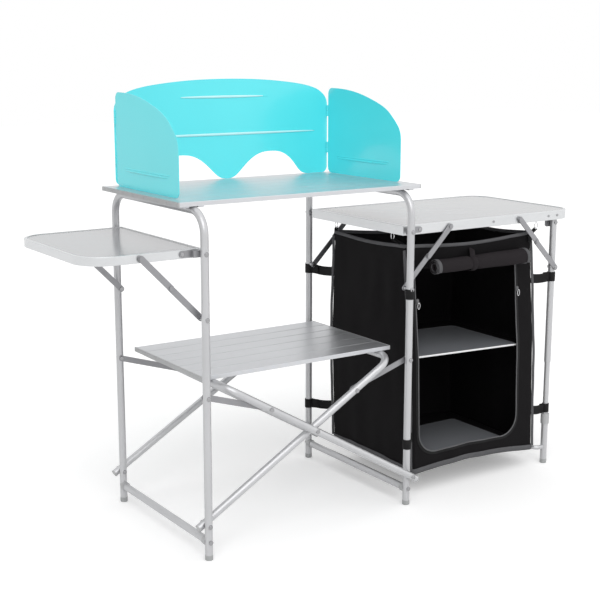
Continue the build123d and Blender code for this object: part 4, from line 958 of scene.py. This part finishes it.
def rounded_slab(name, low, high, r, tilt, look):
    """A slab with rounded corners and eased edges: rows of a rounded rectangle. Its top and bottom slope down
    along x by tilt from end to end."""
    middle, half = (low + high) / 2, (high - low) / 2
    steps = 8
    corner = np.linspace(0, pi / 2, steps)
    angle = np.concatenate([corner + k * pi / 2 for k in range(4)])
    signs = np.repeat([[1, 1], [-1, 1], [-1, -1], [1, -1]], steps, axis=0)
    rows = []
    for inset, z in ((SLAB_FLAT, high[2]), (SLAB_EASE, high[2]), (0, high[2] - SLAB_EASE),
                     (0, low[2] + SLAB_EASE), (SLAB_EASE, low[2]), (SLAB_FLAT, low[2])):
        x = middle[0] + signs[:, 0] * (half[0] - r) + np.cos(angle) * (r - inset)
        y = middle[1] + signs[:, 1] * (half[1] - r) + np.sin(angle) * (r - inset)
        rows.append(np.stack([x, y, z - tilt * (x - middle[0]) / (2 * half[0])], -1))
    points = np.concatenate(rows)
    faces = [face[::-1] for face in capped(len(rows), len(angle))]
    return piece(name, points, faces, look, "right_frame", points[:, :2], smooth=False), rows[1]


def cupboard_board(name, low, high, end_in, tilt):
    """One shelf of the cupboard: a cloth floor sewn in all round, with a smaller grey board on it that has
    a thin piping round its edge."""
    inset = np.array([end_in, BOARD_IN, 0])
    low, high = low + inset, high - inset
    seam_z = (low[2] + high[2]) / 2
    rounded_slab(name + "_cloth", low, np.array([high[0], high[1], seam_z - BOARD_GAP]), BOARD_CLOTH_CORNER,
                 tilt, CLOTH_LOOK)
    share = BOARD_LENGTH / (high[0] - low[0])
    near = np.array([low[0], low[1], seam_z])
    far = np.array([low[0] + BOARD_LENGTH, low[1] + BOARD_DEPTH, high[2]])
    shift = np.array([0, 0, tilt * (1 - share) / 2])
    panel, rim = rounded_slab(name + "_panel", near + shift, far + shift, BOARD_CORNER, tilt * share,
                              SHELF_BOARD)
    points, faces, runs = rod(rim, PIPING_R, sides=8, closed=True)
    piece(name + "_piping", points, faces, BINDING, "right_frame", runs)
    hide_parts(name)


def white_edge():
    """The white strip along the mid board's front edge, which slopes with the board."""
    middle, length = (MID_LOW + MID_HIGH) / 2, MID_HIGH[0] - MID_LOW[0]
    x = np.linspace(MID_LOW[0] + STRIP_IN, MID_HIGH[0] - STRIP_IN, 40)
    z = middle[2] - MID_TILT * (x - middle[0]) / length
    path = np.stack([x, np.full(len(x), MID_LOW[1] + BOARD_IN - STRIP_PROUD), z], -1)
    tape("mid_board_edge", path, (0, -1.0, 0), STRIP_W, STRIP_T, EDGE_STRIP)


def white_floor():
    """A floor that keeps a soft shadow. To camera, glossy and transmission rays it glows by what its own
    colour lacks of white in full light, so it meets the world with no line."""
    bpy.ops.mesh.primitive_plane_add(size=FLOOR_SIZE)
    floor = bpy.context.object
    floor.name = "studio_floor"
    look = Finish("floor_white", Base_Color=(FLOOR_TONE, FLOOR_TONE, FLOOR_TONE, 1), Roughness=1.0,
                  Specular_IOR_Level=0.0)
    to_camera, to_gloss, through = look.rays("Camera", "Glossy", "Transmission")
    seen = (to_camera + to_gloss + through).math("MINIMUM", 1.0)
    lamps = sum(power * place[2] / Vector(place).length for place, _, power in SUNS.values()) / pi
    lack = 1.0 + FLOOR_MARGIN - (SKY + lamps) * FLOOR_TONE
    glow = look.node("ShaderNodeEmission", {}, {"Color": (1, 1, 1, 1), "Strength": seen * lack})
    both = look.node("ShaderNodeAddShader", {}, {0: Signal(look, look.shader.outputs[0]), 1: glow})
    look.join(look.tree.nodes["Material Output"].inputs["Surface"], both)
    floor.data.materials.append(look.material)


def white_world():
    """A world that is white to camera and glossy rays, and that lights the rest with the sky's strength."""
    world = bpy.data.worlds.new("studio")
    bpy.context.scene.world = world
    world.use_nodes = True
    tree = ShaderTree(world.node_tree)
    to_camera, to_gloss = tree.rays("Camera", "Glossy")
    seen = to_camera.math("MAXIMUM", to_gloss)
    strength = tree.node("ShaderNodeMapRange", {}, {"Value": seen, "To Min": SKY, "To Max": 1.0})
    backdrop = world.node_tree.nodes["Background"]
    tree.join(backdrop.inputs["Color"], (1, 1, 1, 1))
    tree.join(backdrop.inputs["Strength"], strength)


def suns():
    """Wide soft lamps, each of which shines from its place towards the origin."""
    for name, (place, angle, strength) in SUNS.items():
        lamp = bpy.data.lights.new(name, "SUN")
        lamp.angle = radians(angle)
        lamp.energy = strength
        made = bpy.data.objects.new(name, lamp)
        made.location = place
        made.rotation_euler = (-Vector(place)).to_track_quat("-Z", "Y").to_euler()
        bpy.context.scene.collection.objects.link(made)


def camera():
    """The photograph's view."""
    view = bpy.data.cameras.new("photo_view")
    view.sensor_width = VIEW_SENSOR
    view.lens = VIEW_LENS
    made = bpy.data.objects.new("photo_view", view)
    made.location = VIEW_PLACE
    made.rotation_euler = (pi / 2 - VIEW_PITCH, VIEW_ROLL, -VIEW_YAW)
    bpy.context.scene.collection.objects.link(made)
    bpy.context.scene.camera = made


bag = cupboard_cloth()
top_hem = hem("top_hem", 1.0, HEM_W, -CLOTH / 2)
low_hem = hem("bottom_hem", LOW_HEM_UP, LOW_HEM_W, LOW_HEM_PROUD)
bindings = [corner_binding(k) for k in range(4)]
door_zip()
rolled_door()
roll_tie()
leg_straps()
hanging_hooks()
cupboard_board("bag_mid_board", MID_LOW, MID_HIGH, BOARD_IN, MID_TILT)
cupboard_board("bag_floor_board", FLOOR_LOW, FLOOR_HIGH, BOARD_IN + FOOT_RIGHT, 0.0)
zip_sliders()
pressed_beads()
white_edge()
white_floor()
white_world()
suns()
camera()
bpy.context.scene.view_settings.view_transform = "Standard"
